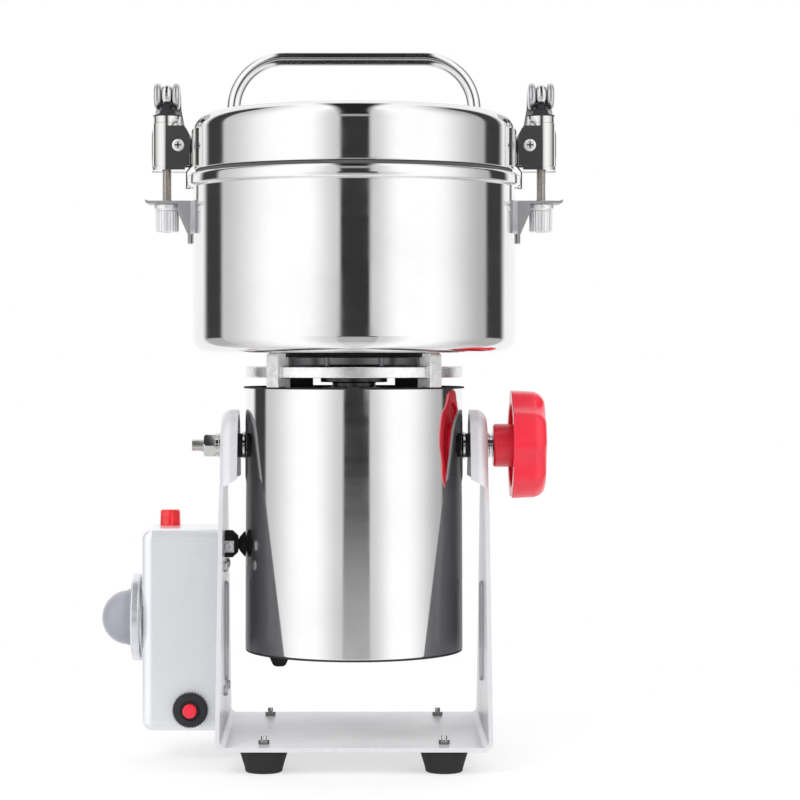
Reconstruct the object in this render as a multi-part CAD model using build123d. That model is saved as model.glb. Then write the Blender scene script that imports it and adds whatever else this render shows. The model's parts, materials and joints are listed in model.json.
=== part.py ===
from build123d import *
import os
from math import cos, pi, radians, sin, sqrt

# A tilting electric grain mill. Millimetres, +Z up, and -Y is the front.
# The origin is on the bench, straight below the motor's axis.
# The mill body swings about an axis along X, held by a U-shaped bracket.

# ---------------------------------------------------------------- driving sizes
slide_gap = 0.05             # radial room of a pin or shaft that turns or slides
seat_gap = 0.1               # room between pieces that are fitted and stay put
run_gap = 0.3                # room between bodies that pass each other
sheet = 2.5                  # bracket steel

# feet and bracket
foot_height = 13.3
foot_top_radius = 14.0
foot_bottom_radius = 10.5
foot_inset_x = 27.5          # from an arm's outer face to a foot's centre
foot_y = 56.0
foot_bolt_radius = 1.7
foot_bolt_end = 5.0          # the bolt's end above the floor plate
foot_nut_corners = 6.4
foot_nut_height = 2.5
base_half_depth = 71.0
arm_reach = 14.3             # from the motor shell to an arm's outer face
bend_radius = 6.0
tilt_z = 186.0               # height of the tilt axis
head_radius = 21.5
head_round = 7.0             # outer rounding between the arm's head and its lip
lip_depth = 10.5             # turned-in lip round the arm's head
lip_start_z = 162.5
lip_taper = 4.5              # the lip's lower end rises by this much towards its free edge
rib_low_z = 45.0
rib_high_z = 105.0
rib_width = 9.0
rib_height = 2.0

# control box on the left arm
box_depth_x = 46.2
box_half_y = 23.5
box_low_z = 17.6
box_high_z = 137.4
box_round = 6.5
box_wall = 1.5
panel_screw_radius = 2.0
panel_screw_head_radius = 3.2
panel_screw_head = 2.2
earth_screw_head_radius = 2.9
earth_tab_y = -18.0          # front face of the earth tab
earth_tab_reach = 5.8
panel_screw_y = 14.0
panel_screw_low_z = 41.0
panel_screw_high_z = 114.5

# timer, pilot lamp, overload switch and mains inlet
timer_z = 82.9
timer_body_depth = 22.5
timer_body_half = 19.0
dial_radius = 26.0
dial_thickness = 5.3
dial_boss_radius = 22.0
dial_boss_depth = 1.3
timer_bush_radius = 4.9
timer_spindle_radius = 3.0
knob_radius = 16.7
knob_height = 18.1
knob_face_gap = 0.6
lamp_reach = 31.5            # from the left arm's outer face to the lamp
lamp_y = 10.8
lamp_cap_radius = 6.3
lamp_cap_height = 9.6
lamp_cap_taper = 0.94
lamp_neck_radius = 4.9
lamp_neck_depth = 20.0
switch_reach = 17.1          # from the left arm's outer face to the overload switch
switch_z = 30.8
switch_nut_radius = 10.4
switch_nut_height = 4.8
switch_neck_radius = 5.9
switch_neck_reach = 4.0
switch_body_half = 6.6
switch_body_depth = 30.0
button_radius = 4.15
button_proud = 3.5
button_travel = 2.5
inlet_reach = 22.5           # from the left arm's outer face to the mains inlet
inlet_z = 36.0
inlet_neck_radius = 5.9
inlet_flange_radius = 8.0
inlet_bore_radius = 3.5
inlet_length = 11.0

# cable from the box to the motor
cable_radius = 3.2
cable_z = 127.0
gland_radius = 8.2
gland_reach = 7.6
gland_neck_radius = 5.9
grommet_radius = 8.7
grommet_tip_radius = 4.0
grommet_reach = 3.5
grommet_neck_radius = 5.4

# motor
shell_radius = 65.2
shell_wall = 1.2
shell_low_z = 65.0
shell_high_z = 220.9
trim_proud = 0.9
trim_depth = 0.5
trim_cover = 0.5             # the edging's thickness above the shell
cap_lip = 1.1
cap_spigot = 3.0
bearing_outer = 16.0
bearing_width = 10.0
shaft_radius = 6.0
lower_bearing_z = 67.5
stator_low_z = 110.0
stator_high_z = 165.0
stator_flat = 56.0
armature_radius = 28.0
air_gap = 0.6
coil_inner = 32.0
coil_outer = 42.0
coil_overhang = 11.0
coil_start = 29.0            # degrees from X to the coil's side
coil_width = 12.0            # degrees
slot_count = 12
slot_ring = 23.0
slot_radius = 2.4
winding_outer = 26.0
winding_inner = 10.0
winding_overhang = 15.0
commutator_radius = 17.0
commutator_low_z = 194.0
commutator_high_z = 216.0
commutator_bars = 24
brush_half_width = 4.0
brush_half_height = 5.0
brush_z = 206.0
brush_length = 14.0
holder_inner_x = 19.0
holder_outer_x = 42.6
holder_pad_x = 24.6
holder_half_y = 7.0
fan_low_z = 81.0
fan_high_z = 94.0
fan_radius = 54.0
fan_hub_radius = 11.0
fan_blades = 10
plug_x = -44.6
plug_radius = 7.8
plug_length = 9.6

# neck between motor and bowl
bell_inset = 0.2             # how much smaller than the motor shell
bell_low_z = 227.0
bell_high_z = 233.3
bell_window_inner = 30.0
bell_window_rim = 11.2       # ring left outside the windows
bell_window_angle = 56.0     # degrees
post_width = 9.6
post_proud = 2.3             # how far a post stands out from the motor shell
post_depth = 6.5
leg_depth = 4.0
housing_radius = 41.0
housing_boss_radius = 20.0
housing_hub_radius = 13.0
housing_top_z = 239.0
upper_bearing_z = 226.0
seal_radius = 14.0
seal_lip = 4.0

# bowl, lid and handle
bowl_radius = 97.0
bowl_wall = 1.2
bowl_floor = 1.5
bowl_low_z = 241.6
bowl_round = 9.0
bowl_rim_z = 347.9
rim_low_z = 340.3
rim_proud = 2.6              # how far the rim stands out from the bowl
seal_ring_inset = 2.0        # from the bowl's outer face to the seal ring
seal_ring_width = 6.0
seal_ring_height = 2.1
lid_inset = 1.0              # how much smaller than the bowl
lid_wall = 1.2
lid_high_z = 384.0
lid_round = 9.5
lid_lip = 6.0                # width of the lip turned in over the seal
handle_rod = 4.2
handle_inset = 23.6          # from the lid's side to the rod's centre at the foot
handle_lean = 2.6            # how far the legs lean inwards
handle_top_z = 421.9
handle_bend = 30.0

# blades
blade_seat_z = 252.0
blade_clearance = 17.8       # from the blade's tip to the bowl's wall
blade_width = 17.0
blade_thickness = 2.5
blade_rise = 9.0
blade_spacer = 12.0
blade_hub_radius = 11.0
blade_nut_radius = 9.5
blade_nut_height = 9.0

# tilt pivot, left nut and right hand wheel
stud_radius = 4.0
stud_flange_radius = 9.0
stud_flange = 2.5
sleeve_radius = 7.2
washer_radius = 8.4
washer = 1.5
nut_across_corners = 15.0
nut_height = 6.9
stud_left_reach = 17.5       # from the arm's outer face to the stud's end
wheel_hub_gap = 3.9          # from the arm's outer face to the wheel's hub
wheel_skirt_gap = 14.5       # from the arm's outer face to the wheel's skirt
wheel_height = 20.0
wheel_radius = 33.0
wheel_wall = 4.5
wheel_hub_radius = 13.0
wheel_lobes = 5
wheel_turn = -18.0           # degrees from the front to the first hollow
wheel_scallop_radius = 22.0
wheel_scallop_depth = 3.2
wheel_soften = 9.0
wheel_round = 8.0
wheel_web = 5.0

# lid latches
latch_reach = 12.6           # from the rim to the pull rod's axis
latch_rod = 3.0
hinge_reach = 5.3            # from the rim to the screw that the latch swings on
hinge_z = 365.4
hinge_screw = 2.0
hinge_head = 3.6
hinge_head_height = 2.2
block_half_y = 8.4
block_wall = 1.3
block_back = 6.9             # from the hinge to the block's inner edge
block_low_z = 353.2
block_high_z = 377.2
block_corner_back = 3.7      # from the hinge to the bevelled corner, at the top
block_corner_z = 371.1
block_roof_back = 2.0        # from the hinge to the roof's inner edge
block_foot_back = 4.1
block_foot_low_z = 350.8
block_foot_height = 1.8
block_foot_proud = 0.6
cup_radius = 8.1
cup_flange_height = 1.6
cup_high_z = 383.1
dome_radius = 8.3
dome_neck = 3.9
dome_high_z = 387.05
eye_z = 395.9
eye_radius = 6.5
eye_half_x = 3.15
eye_round = 2.6
pin_radius = 2.0
cheek = 4.2
cheek_radius = 8.0
cheek_round = 1.9
cheek_shift_y = 1.6
cheek_shift_z = -0.5
lever_tip_z = 352.0
lever_back_y = 16.5
lever_thickness = 2.2
lever_tip_half_width = 10.4
rod_low_z = 316.0
thumb_low_z = 313.8
thumb_radius = 7.1
thumb_collar_radius = 7.9
thumb_collar_height = 3.8
knurl_count = 28
ring_teeth = 44
pad_thickness = 1.2
pad_low_z = 352.0
pad_high_z = 374.2
pad_angle = 15.7
ear_half_y = 2.0
ear_radius = 4.0
hook_reach = 0.75
hook_low_z = 339.6
hook_half_y = 5.0
fork_low_z = 330.5
fork_thickness = 1.8
fork_reach = 11.2            # from the pull rod's axis to the fork's tips
fork_half_y = 9.0
fork_slot = 3.5              # half the width of the slot that the rod drops into
fork_leg_low_z = 306.7
fork_leg = 2.2
fork_pad_angle = 17.0
gusset = 1.5
gusset_reach = 6.0
gusset_low_z = 312.0

# ---------------------------------------------------------------- derived sizes
arm_outer_x = shell_radius + arm_reach
arm_inner_x = arm_outer_x - sheet
foot_x = arm_outer_x - foot_inset_x
base_top_z = foot_height + sheet
box_left_x = -arm_outer_x - box_depth_x
lamp_x = -arm_outer_x - lamp_reach
switch_x = -arm_outer_x - switch_reach
inlet_x = -arm_outer_x - inlet_reach
shell_inner = shell_radius - shell_wall
trim_high_z = shell_high_z + trim_cover
bell_radius = shell_radius - bell_inset
bell_window_outer = shell_radius - bell_window_rim
post_outer = shell_radius + post_proud
post_inner = post_outer - post_depth
leg_inner = post_inner - leg_depth
lid_low_z = bowl_rim_z + seal_ring_height
bowl_inner = bowl_radius - bowl_wall
bowl_floor_z = bowl_low_z + bowl_floor
rim_radius = bowl_radius + rim_proud
seal_ring_outer = bowl_radius - seal_ring_inset
seal_ring_inner = seal_ring_outer - seal_ring_width
lid_radius = bowl_radius - lid_inset
lid_lip_inner = lid_radius - lid_lip
handle_foot_x = lid_radius - handle_inset
handle_shoulder_x = handle_foot_x - handle_lean
blade_reach = bowl_inner - blade_clearance
stud_left_end = arm_outer_x + stud_left_reach
wheel_face_x = arm_outer_x + wheel_hub_gap
wheel_skirt_x = arm_outer_x + wheel_skirt_gap
wheel_outer_x = wheel_skirt_x + wheel_height
latch_x = rim_radius + latch_reach
hinge_x = rim_radius + hinge_reach
block_inner_x = hinge_x - block_back
fork_tip_x = latch_x + fork_reach
upright = (Align.CENTER, Align.CENTER, Align.MIN)


# ---------------------------------------------------------------- small helpers
def disc(radius, low, high):
    """An upright cylinder on the Z axis between two heights."""
    return Pos(0, 0, low) * Cylinder(radius, high - low, align=upright)


def tube(outer, inner, low, high):
    """An upright tube on the Z axis."""
    return disc(outer, low, high) - disc(inner, low, high)


def block(low, high):
    """A box given by its lowest and highest corners."""
    size = [b - a for a, b in zip(low, high)]
    middle = [(a + b) / 2 for a, b in zip(low, high)]
    return Pos(*middle) * Box(*size)


def rod_x(radius, start, end, y=0.0, z=0.0):
    """A cylinder along X between two places."""
    return Pos(start, y, z) * Rot(0, 90, 0) * Cylinder(radius, end - start, align=upright)


def rod_y(radius, start, end, x=0.0, z=0.0):
    """A cylinder along Y between two places."""
    return Pos(x, start, z) * Rot(-90, 0, 0) * Cylinder(radius, end - start, align=upright)


def turned(points, rounds=0.0):
    """A solid turned about Z from (radius, height) corners, with a rounding for each corner."""
    outline = FilletPolyline(*points, radius=rounds, close=True)
    return revolve(Plane.XZ * make_face(outline), Axis.Z)


def turned_x(points, rounds=0.0):
    """A solid turned about X from (place along X, radius) corners."""
    outline = FilletPolyline(*points, radius=rounds, close=True)
    return revolve(Plane.XZ * make_face(outline), Axis.X)


def arc_band(inner, outer, low, high, start, sweep_angle):
    """A sector of a ring about Z, from a start angle in degrees."""
    profile = Pos((inner + outer) / 2, 0, (low + high) / 2) * Rot(90, 0, 0)
    face = profile * Rectangle(outer - inner, high - low)
    return Rot(0, 0, start) * revolve(face, Axis.Z, sweep_angle)


def hexagon(across_corners, start, end):
    """A hexagonal nut blank along X."""
    face = Plane.YZ * RegularPolygon(across_corners / 2, 6)
    return Pos(start, 0, 0) * extrude(face, amount=end - start)


def phillips(head_radius, height):
    """A pan head with a cross recess: its seat is at the origin and it rises along +Z."""
    head = Cylinder(head_radius, height, align=upright)
    head = fillet(head.edges().sort_by(Axis.Z)[-1], height * 0.55)
    arm = head_radius * 0.55
    for turn in (0, 90):
        slot = Rot(0, 0, turn) * Box(2 * arm, arm * 0.42, height)
        head -= Pos(0, 0, height) * slot
    return head


def both_sides(right):
    """A right-hand piece together with its mirror image on the left."""
    return [right, mirror(right, about=Plane.YZ)]


def save(name, *solids):
    """Writes one node."""
    shape = solids[0] if len(solids) == 1 else Compound(children=[Part(s.wrapped) for s in solids])
    export_step(shape, f"parts/{name}.step")


# ---------------------------------------------------------------- stand
def bracket():
    """The U-shaped bracket: a floor plate and two arms that narrow to round heads."""
    tall = tilt_z + head_radius
    channel = block((-arm_outer_x, -base_half_depth, foot_height), (arm_outer_x, base_half_depth, tall))
    lower_edges = channel.edges().filter_by(Axis.Y).group_by(Axis.Z)[0]
    channel = fillet(lower_edges, bend_radius)
    inner_z = foot_height + sheet
    room = block((-arm_inner_x, -base_half_depth, inner_z), (arm_inner_x, base_half_depth, tall))
    room = fillet(room.edges().filter_by(Axis.Y).group_by(Axis.Z)[0], bend_radius - sheet)
    channel -= room

    foot_line = Pos(0, foot_height + bend_radius / 2) * Rectangle(2 * base_half_depth, bend_radius)
    head = Pos(0, tilt_z) * Circle(head_radius)
    side = make_hull(foot_line.edges() + head.edges())
    body = channel & extrude(Plane.YZ * side, amount=arm_outer_x, both=True)
    body -= block((-tall, -tall, lip_start_z), (tall, tall, 2 * tall))

    head_shell = arm_head(side, tall)
    for sign in (-1, 1):
        lip = head_shell
        rib_face = Plane.YZ * Pos(0, (rib_low_z + rib_high_z) / 2)
        rib_face = rib_face * SlotOverall(rib_high_z - rib_low_z, rib_width, rotation=90)
        rib = Pos(arm_inner_x - rib_height, 0, 0) * extrude(rib_face, amount=rib_height)
        rib = fillet(rib.faces().sort_by(Axis.X)[0].edges(), rib_height * 0.8)
        groove = Pos(arm_outer_x - rib_height / 2, 0, 0) * extrude(rib_face, amount=rib_height)
        if sign < 0:
            lip, rib, groove = [mirror(s, about=Plane.YZ) for s in (lip, rib, groove)]
        body = body + lip + rib - groove
        for front in (-1, 1):
            corner = edge_wedge(side)
            corner = corner if front < 0 else mirror(corner, about=Plane.XZ)
            body -= corner if sign > 0 else mirror(corner, about=Plane.YZ)
        body -= rod_x(stud_radius + run_gap, *sorted((sign * arm_inner_x / 2, sign * 2 * arm_outer_x)), z=tilt_z)
    for x, y in foot_places():
        body -= Pos(x, y, 0) * disc(foot_bolt_radius + seat_gap, 0, 2 * base_top_z)
    body -= rod_x(gland_neck_radius + seat_gap, -2 * arm_outer_x, -arm_inner_x / 2, z=cable_z)
    for y, z in panel_screw_places():
        body -= rod_x(panel_screw_radius + seat_gap, -2 * arm_outer_x, -arm_inner_x / 2, y, z)
    return body + earth_tab()


def arm_head(side, tall):
    """The pressed upper end of the right arm: its plate runs in a wide bend into the turned-in lip."""
    start = arm_outer_x - lip_depth
    upper = Pos(0, tilt_z) * Rectangle(4 * base_half_depth, 4 * head_radius)

    def plug(outline, depth, rounding):
        solid = Pos(start, 0, 0) * extrude(Plane.YZ * (outline & upper), amount=depth)
        edges = solid.faces().sort_by(Axis.X)[-1].edges().sort_by(Axis.Z)[1:]
        return fillet(edges, rounding)

    outer = plug(side, lip_depth, head_round)
    inner = plug(offset(side, -sheet), lip_depth - sheet, head_round - sheet)
    taper = Polyline(
        (arm_outer_x, lip_start_z), (arm_inner_x, lip_start_z), (start, lip_start_z + lip_taper),
        (start, tall), (arm_outer_x, tall), close=True)
    window = extrude(Plane.XZ * make_face(taper), amount=base_half_depth, both=True)
    return (outer - inner) & window


def half_width(side, height):
    """Half the width of the arm's outline at a height."""
    line = Pos(0, height) * Rectangle(4 * base_half_depth, 0.02)
    return (side & line).bounding_box().max.X


def edge_wedge(side):
    """What is taken off the arm's front outer edge just below the lip, so that the bend runs out."""
    leg = head_round * 0.586 + 1
    wide = half_width(side, lip_start_z) + 1
    far = arm_outer_x + 1
    top = Polyline((far, -wide), (far, -wide + leg + 1), (far - leg - 1, -wide), close=True)
    runout = 2 * head_round
    tip = Vertex(arm_outer_x, -half_width(side, lip_start_z - runout), lip_start_z - runout)
    return loft([Pos(0, 0, lip_start_z) * make_face(top), tip])


def earth_tab():
    """The small tab on the left arm that takes the earth screw."""
    low = (-arm_inner_x, earth_tab_y, cable_z - 3.8)
    return block(low, (-arm_inner_x + earth_tab_reach, earth_tab_y + 2.0, cable_z + 2.9))


def foot_places():
    return [(x, y) for x in (-foot_x, foot_x) for y in (-foot_y, foot_y)]


def feet():
    """Four tapered rubber feet with a bore for the bolt."""
    foot = Cone(foot_bottom_radius, foot_top_radius, foot_height, align=upright)
    foot -= disc(foot_bolt_radius, foot_height / 3, foot_height)
    return [Pos(x, y, 0) * foot for x, y in foot_places()]


def foot_bolts():
    """Four bolts moulded in the feet, with hexagonal nuts on the floor plate."""
    nut = Pos(0, 0, base_top_z) * extrude(RegularPolygon(foot_nut_corners / 2, 6), amount=foot_nut_height)
    nut = chamfer(nut.faces().sort_by(Axis.Z)[-1].edges(), 0.3)
    bolt = disc(foot_bolt_radius, foot_height / 3, base_top_z + foot_bolt_end)
    bolt = nut + chamfer(bolt.edges().group_by(Axis.Z)[-1], 0.4)
    return [Pos(x, y, 0) * bolt for x, y in foot_places()]


# ---------------------------------------------------------------- control box
def panel_screw_places():
    heights = (panel_screw_low_z, panel_screw_high_z)
    return [(y, z) for y in (-panel_screw_y, panel_screw_y) for z in heights]


def control_box():
    """The pressed steel box on the left arm, open towards the arm."""
    low = (box_left_x, -box_half_y, box_low_z)
    high = (-arm_outer_x, box_half_y, box_high_z)
    shell = block(low, high)
    open_face = shell.faces().sort_by(Axis.X)[-1]
    shell = fillet(shell.edges() - open_face.edges(), box_round)
    room = block(
        [v + box_wall for v in low],
        (-arm_outer_x + box_wall, box_half_y - box_wall, box_high_z - box_wall))
    inner_edges = room.edges() - room.faces().sort_by(Axis.X)[-1].edges()
    shell -= fillet(inner_edges, box_round - box_wall)
    shell -= rod_x(timer_bush_radius + seat_gap, box_left_x - 5, box_left_x + 5, z=timer_z)
    shell -= rod_y(switch_neck_radius + seat_gap, -box_half_y - 5, -box_half_y + 5, switch_x, switch_z)
    shell -= rod_y(inlet_neck_radius + seat_gap, box_half_y - 5, box_half_y + 5, inlet_x, inlet_z)
    shell -= Pos(lamp_x, lamp_y, 0) * disc(lamp_neck_radius + seat_gap, box_high_z - 5, box_high_z + 5)
    return shell


def control_box_back():
    """The flat plate that closes the box against the arm."""
    inset = box_wall + seat_gap
    plate = block(
        (-arm_outer_x - box_wall, -box_half_y + inset, box_low_z + inset),
        (-arm_outer_x, box_half_y - inset, box_high_z - inset))
    plate = fillet(plate.edges().filter_by(Axis.X), box_round - box_wall)
    plate -= rod_x(gland_neck_radius + seat_gap, -2 * arm_outer_x, 0, z=cable_z)
    for y, z in panel_screw_places():
        plate -= rod_x(panel_screw_radius + seat_gap, -2 * arm_outer_x, 0, y, z)
    return plate


def panel_screws():
    """Four screws that hold the box to the arm, and the earth screw on its tab."""
    head = phillips(panel_screw_head_radius, panel_screw_head)
    screws = []
    for y, z in panel_screw_places():
        turned_head = Pos(-arm_inner_x, y, z) * Rot(0, 90, 0) * head
        screws.append(turned_head + rod_x(panel_screw_radius, -arm_outer_x - 4, -arm_inner_x, y, z))
    earth = phillips(earth_screw_head_radius, panel_screw_head)
    screws.append(Pos(-arm_inner_x + earth_tab_reach / 2, earth_tab_y, cable_z - 0.5) * Rot(90, 0, 0) * earth)
    return screws


def timer_body():
    """The clockwork timer inside the box, with its mounting bush."""
    left = box_left_x + box_wall
    body = block(
        (left, -timer_body_half, timer_z - timer_body_half),
        (left + timer_body_depth, timer_body_half, timer_z + timer_body_half))
    body = fillet(body.edges().filter_by(Axis.X) + body.faces().sort_by(Axis.X)[0].edges(), 3.0)
    body += rod_x(timer_bush_radius, box_left_x - dial_boss_depth, left, z=timer_z)
    return body - rod_x(timer_spindle_radius + slide_gap, box_left_x - 5, left + 10, z=timer_z)


def dial_plate():
    """The round plate behind the timer knob, on a smaller boss."""
    face_x = box_left_x - dial_boss_depth - dial_thickness
    rim = rod_x(dial_radius, face_x, face_x + dial_thickness)
    rim = fillet(rim.edges().group_by(Axis.X)[0] + rim.edges().group_by(Axis.X)[-1], 1.2)
    plate = rim + rod_x(dial_boss_radius, face_x + dial_thickness, box_left_x)
    plate -= rod_x(timer_bush_radius + seat_gap, box_left_x - dial_boss_depth, box_left_x)
    plate -= rod_x(timer_spindle_radius + run_gap, face_x, box_left_x)
    return Pos(0, 0, timer_z) * plate


def timer_knob():
    """The domed knob and its spindle, turning about X."""
    base_x = box_left_x - dial_boss_depth - dial_thickness - knob_face_gap
    collar = 2.6
    skirt_x = base_x - collar
    dome = knob_radius - 0.6
    tip_x = base_x - knob_height
    bulge = 0.55
    outline = Polyline((tip_x, 0), (base_x, 0), (base_x, knob_radius), (skirt_x, knob_radius), (skirt_x, dome))
    outline += Bezier(
        (skirt_x, dome), (skirt_x + bulge * (tip_x - skirt_x), dome), (tip_x, bulge * dome), (tip_x, 0))
    knob = revolve(Plane.XZ * make_face(outline), Axis.X)
    knob += rod_x(timer_spindle_radius, base_x, box_left_x + box_wall + 9)
    mark = block(
        (base_x - collar, -0.6, knob_radius - 3.2),
        (base_x - collar + 2.0, 0.6, knob_radius + 1.0))
    return Pos(0, 0, timer_z) * (knob - mark)


def pilot_lamp():
    """The faceted lamp cap on top of the box, with its neck and its back nut."""
    top = box_high_z + lamp_cap_height
    base = Pos(0, 0, box_high_z) * RegularPolygon(lamp_cap_radius, 12)
    tip = Pos(0, 0, top) * RegularPolygon(lamp_cap_radius * lamp_cap_taper, 12)
    cap = loft([base, tip])
    cap = chamfer(cap.faces().sort_by(Axis.Z)[-1].edges(), 0.8)
    neck = disc(lamp_neck_radius, box_high_z - lamp_neck_depth, box_high_z)
    inside_top = box_high_z - box_wall
    back_nut = disc(lamp_cap_radius - 0.1, inside_top - 3.5, inside_top)
    return Pos(lamp_x, lamp_y, 0) * (cap + neck + back_nut)


def overload_switch():
    """The overload protector's body and threaded neck, bored for the button."""
    inside_y = -box_half_y + box_wall
    body = block(
        (switch_x - switch_body_half, inside_y, switch_z - switch_body_half),
        (switch_x + switch_body_half, inside_y + switch_body_depth, switch_z + switch_body_half))
    body = fillet(body.edges().filter_by(Axis.Y), 1.5)
    front_y = -box_half_y - switch_neck_reach
    body += rod_y(switch_neck_radius, front_y, inside_y, switch_x, switch_z)
    return body - rod_y(button_radius + slide_gap, front_y, inside_y + 12, switch_x, switch_z)


def overload_nut():
    """The knurled ring nut that clamps the overload protector."""
    ring = rod_y(switch_nut_radius, -switch_nut_height, 0)
    ring = chamfer(ring.edges().group_by(Axis.Y)[0], 0.5)
    for step in range(ring_teeth):
        turn = step * 360 / ring_teeth
        notch = Pos(switch_nut_radius + 0.1, 0, 0) * rod_y(0.5, -switch_nut_height, 0)
        ring -= Rot(0, turn, 0) * notch
    ring -= rod_y(switch_neck_radius, -switch_nut_height, 0)
    return Pos(switch_x, -box_half_y, switch_z) * ring


def reset_button():
    """The button that slides in the overload protector's neck."""
    front_y = -box_half_y - switch_nut_height - button_proud
    back_y = -box_half_y + box_wall + 12 - button_travel - 1.5
    button = rod_y(button_radius, front_y, back_y, switch_x, switch_z)
    return fillet(button.edges().group_by(Axis.Y)[0], 1.0)


def inlet_bush():
    """The strain relief in the back of the box, where the mains lead would enter."""
    back = box_half_y
    profile = [
        (inlet_bore_radius, back - box_wall - 4), (inlet_neck_radius, back - box_wall - 4),
        (inlet_neck_radius, back), (inlet_flange_radius, back), (inlet_flange_radius, back + 2.5),
        (inlet_neck_radius + 0.4, back + 2.5), (inlet_bore_radius + 1.6, back + inlet_length),
        (inlet_bore_radius, back + inlet_length)]
    bush = turned(profile)
    return Pos(inlet_x, 0, inlet_z) * Rot(-90, 0, 0) * bush


# ---------------------------------------------------------------- cable and its bushes
def arm_gland():
    """The cable gland on the inside of the left arm."""
    face = -arm_inner_x
    profile = [
        (-arm_outer_x - 6, cable_radius + seat_gap), (-arm_outer_x - 6, gland_neck_radius),
        (face, gland_neck_radius), (face, gland_radius), (face + gland_reach * 0.55, gland_radius),
        (face + gland_reach, gland_radius * 0.62), (face + gland_reach, cable_radius + seat_gap)]
    return Pos(0, 0, cable_z) * turned_x(profile)


def motor_bushes():
    """The cone grommet in the side of the motor shell and the rubber plug under it."""
    tip = -shell_radius - grommet_reach
    cone_start = -shell_inner + 1.0
    profile = [
        (tip, 0), (tip, grommet_tip_radius), (-shell_radius + 0.5, grommet_radius),
        (cone_start, grommet_radius), (cone_start, 0)]
    cone = turned_x(profile) - disc(shell_radius, -2 * grommet_radius, 2 * grommet_radius)
    grommet = cone + rod_x(grommet_neck_radius, -shell_radius - 0.5, -shell_inner + 3.0)
    grommet -= rod_x(cable_radius + seat_gap, tip - 1, -shell_inner + 4.0)
    plug = turned(
        [(0, -plug_length), (plug_radius * 0.45, -plug_length), (plug_radius, 0), (0, 0)],
        [0, plug_radius * 0.3, 0.6, 0])
    plug = Pos(plug_x, -6.0, shell_low_z - cap_lip) * plug
    return [Pos(0, 0, cable_z) * grommet, plug]


def motor_cable():
    """The short cable that crosses from the gland to the grommet."""
    return rod_x(cable_radius, -arm_outer_x - 8, -shell_inner + 5.0, z=cable_z)


# ---------------------------------------------------------------- motor
def motor_shell():
    """The polished tube round the motor."""
    shell = tube(shell_radius, shell_inner, shell_low_z, shell_high_z)
    shell -= rod_x(stud_radius + seat_gap, -2 * shell_radius, 2 * shell_radius, z=tilt_z)
    return shell - rod_x(grommet_neck_radius, -2 * shell_radius, 0, z=cable_z)


def shell_trim():
    """The dark edging round the top of the shell."""
    low = shell_high_z - trim_depth
    ring = tube(shell_radius + trim_proud, shell_inner - trim_proud, low, trim_high_z)
    ring = fillet(ring.edges().group_by(Axis.Z)[-1], trim_cover * 0.7)
    return ring - tube(shell_radius, shell_inner, 0, shell_high_z)


def bottom_cap():
    """The dark cap that closes the motor below, with cooling slots and the lower bearing seat."""
    cap = disc(shell_radius - 0.3, shell_low_z - cap_lip, shell_low_z)
    cap += disc(shell_inner - seat_gap, shell_low_z, shell_low_z + cap_spigot)
    top = lower_bearing_z + bearing_width
    cap += disc(bearing_outer + 4, shell_low_z, top)
    cap -= disc(bearing_outer, lower_bearing_z, top)
    slot = arc_band(30, 34, shell_low_z - 5, top + 5, 8, 29)
    wide_slot = arc_band(40, 44, shell_low_z - 5, top + 5, 8, 29)
    for turn in range(0, 360, 45):
        cap -= Rot(0, 0, turn + 22.5) * slot
        if turn not in (135, 180):
            cap -= Rot(0, 0, turn + 22.5) * wide_slot
    return cap


def ball_bearings():
    """The two ball bearings that carry the shaft, drawn as closed rings."""
    ring = tube(bearing_outer, shaft_radius, 0, bearing_width)
    groove = tube(bearing_outer - 3, shaft_radius + 3, bearing_width - 0.8, bearing_width)
    ring = ring - groove - mirror(Pos(0, 0, -bearing_width) * groove, about=Plane.XY)
    return [Pos(0, 0, z) * ring for z in (lower_bearing_z, upper_bearing_z)]


def stator_core():
    """The laminated field core, flattened on four sides, with room for the coils."""
    core = disc(shell_inner - seat_gap, stator_low_z, stator_high_z)
    core &= block((-stator_flat, -stator_flat, stator_low_z), (stator_flat, stator_flat, stator_high_z))
    core -= disc(armature_radius + air_gap, stator_low_z, stator_high_z)
    for start in coil_sides():
        core -= arc_band(
            coil_inner - seat_gap, coil_outer + seat_gap, stator_low_z, stator_high_z,
            start - 0.3, coil_width + 0.6)
    return core


def coil_sides():
    """Start angles of the four coil sides."""
    far = 180 - coil_start - coil_width
    return [coil_start, far, coil_start + 180, far + 180]


def field_coils():
    """The two field coils, each round one pole."""
    coils = []
    for turn in (0, 180):
        span = 180 - 2 * coil_start
        coil = arc_band(coil_inner, coil_outer, stator_high_z, stator_high_z + coil_overhang, coil_start, span)
        coil += arc_band(coil_inner, coil_outer, stator_low_z - coil_overhang, stator_low_z, coil_start, span)
        for start in coil_sides()[:2]:
            coil += arc_band(coil_inner, coil_outer, stator_low_z, stator_high_z, start, coil_width)
        coils.append(Rot(0, 0, turn) * coil)
    return coils


def carbon_brushes():
    """The two brushes that press on the commutator."""
    start = commutator_radius + run_gap
    brush = block(
        (start, -brush_half_width, brush_z - brush_half_height),
        (start + brush_length, brush_half_width, brush_z + brush_half_height))
    brush -= disc(commutator_radius + run_gap, 0, 300)
    return both_sides(brush)


def brush_holders():
    """The two moulded holders that hang from the end bell beside the commutator."""
    holder = block(
        (holder_inner_x, -holder_half_y, brush_z - brush_half_height - 3),
        (holder_outer_x, holder_half_y, brush_z + brush_half_height + 3))
    holder += block((holder_pad_x, -holder_half_y, brush_z), (holder_outer_x, holder_half_y, bell_low_z))
    holder -= block(
        (0, -brush_half_width - seat_gap, brush_z - brush_half_height - seat_gap),
        (holder_outer_x - 3, brush_half_width + seat_gap, brush_z + brush_half_height + seat_gap))
    return both_sides(holder)


def bell_corner(low_radius, high_radius, width, low, high):
    """A bar between two radii on the 45 degree line."""
    bar = block((low_radius, -width / 2, low), (high_radius, width / 2, high))
    return Rot(0, 0, 45) * bar


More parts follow.
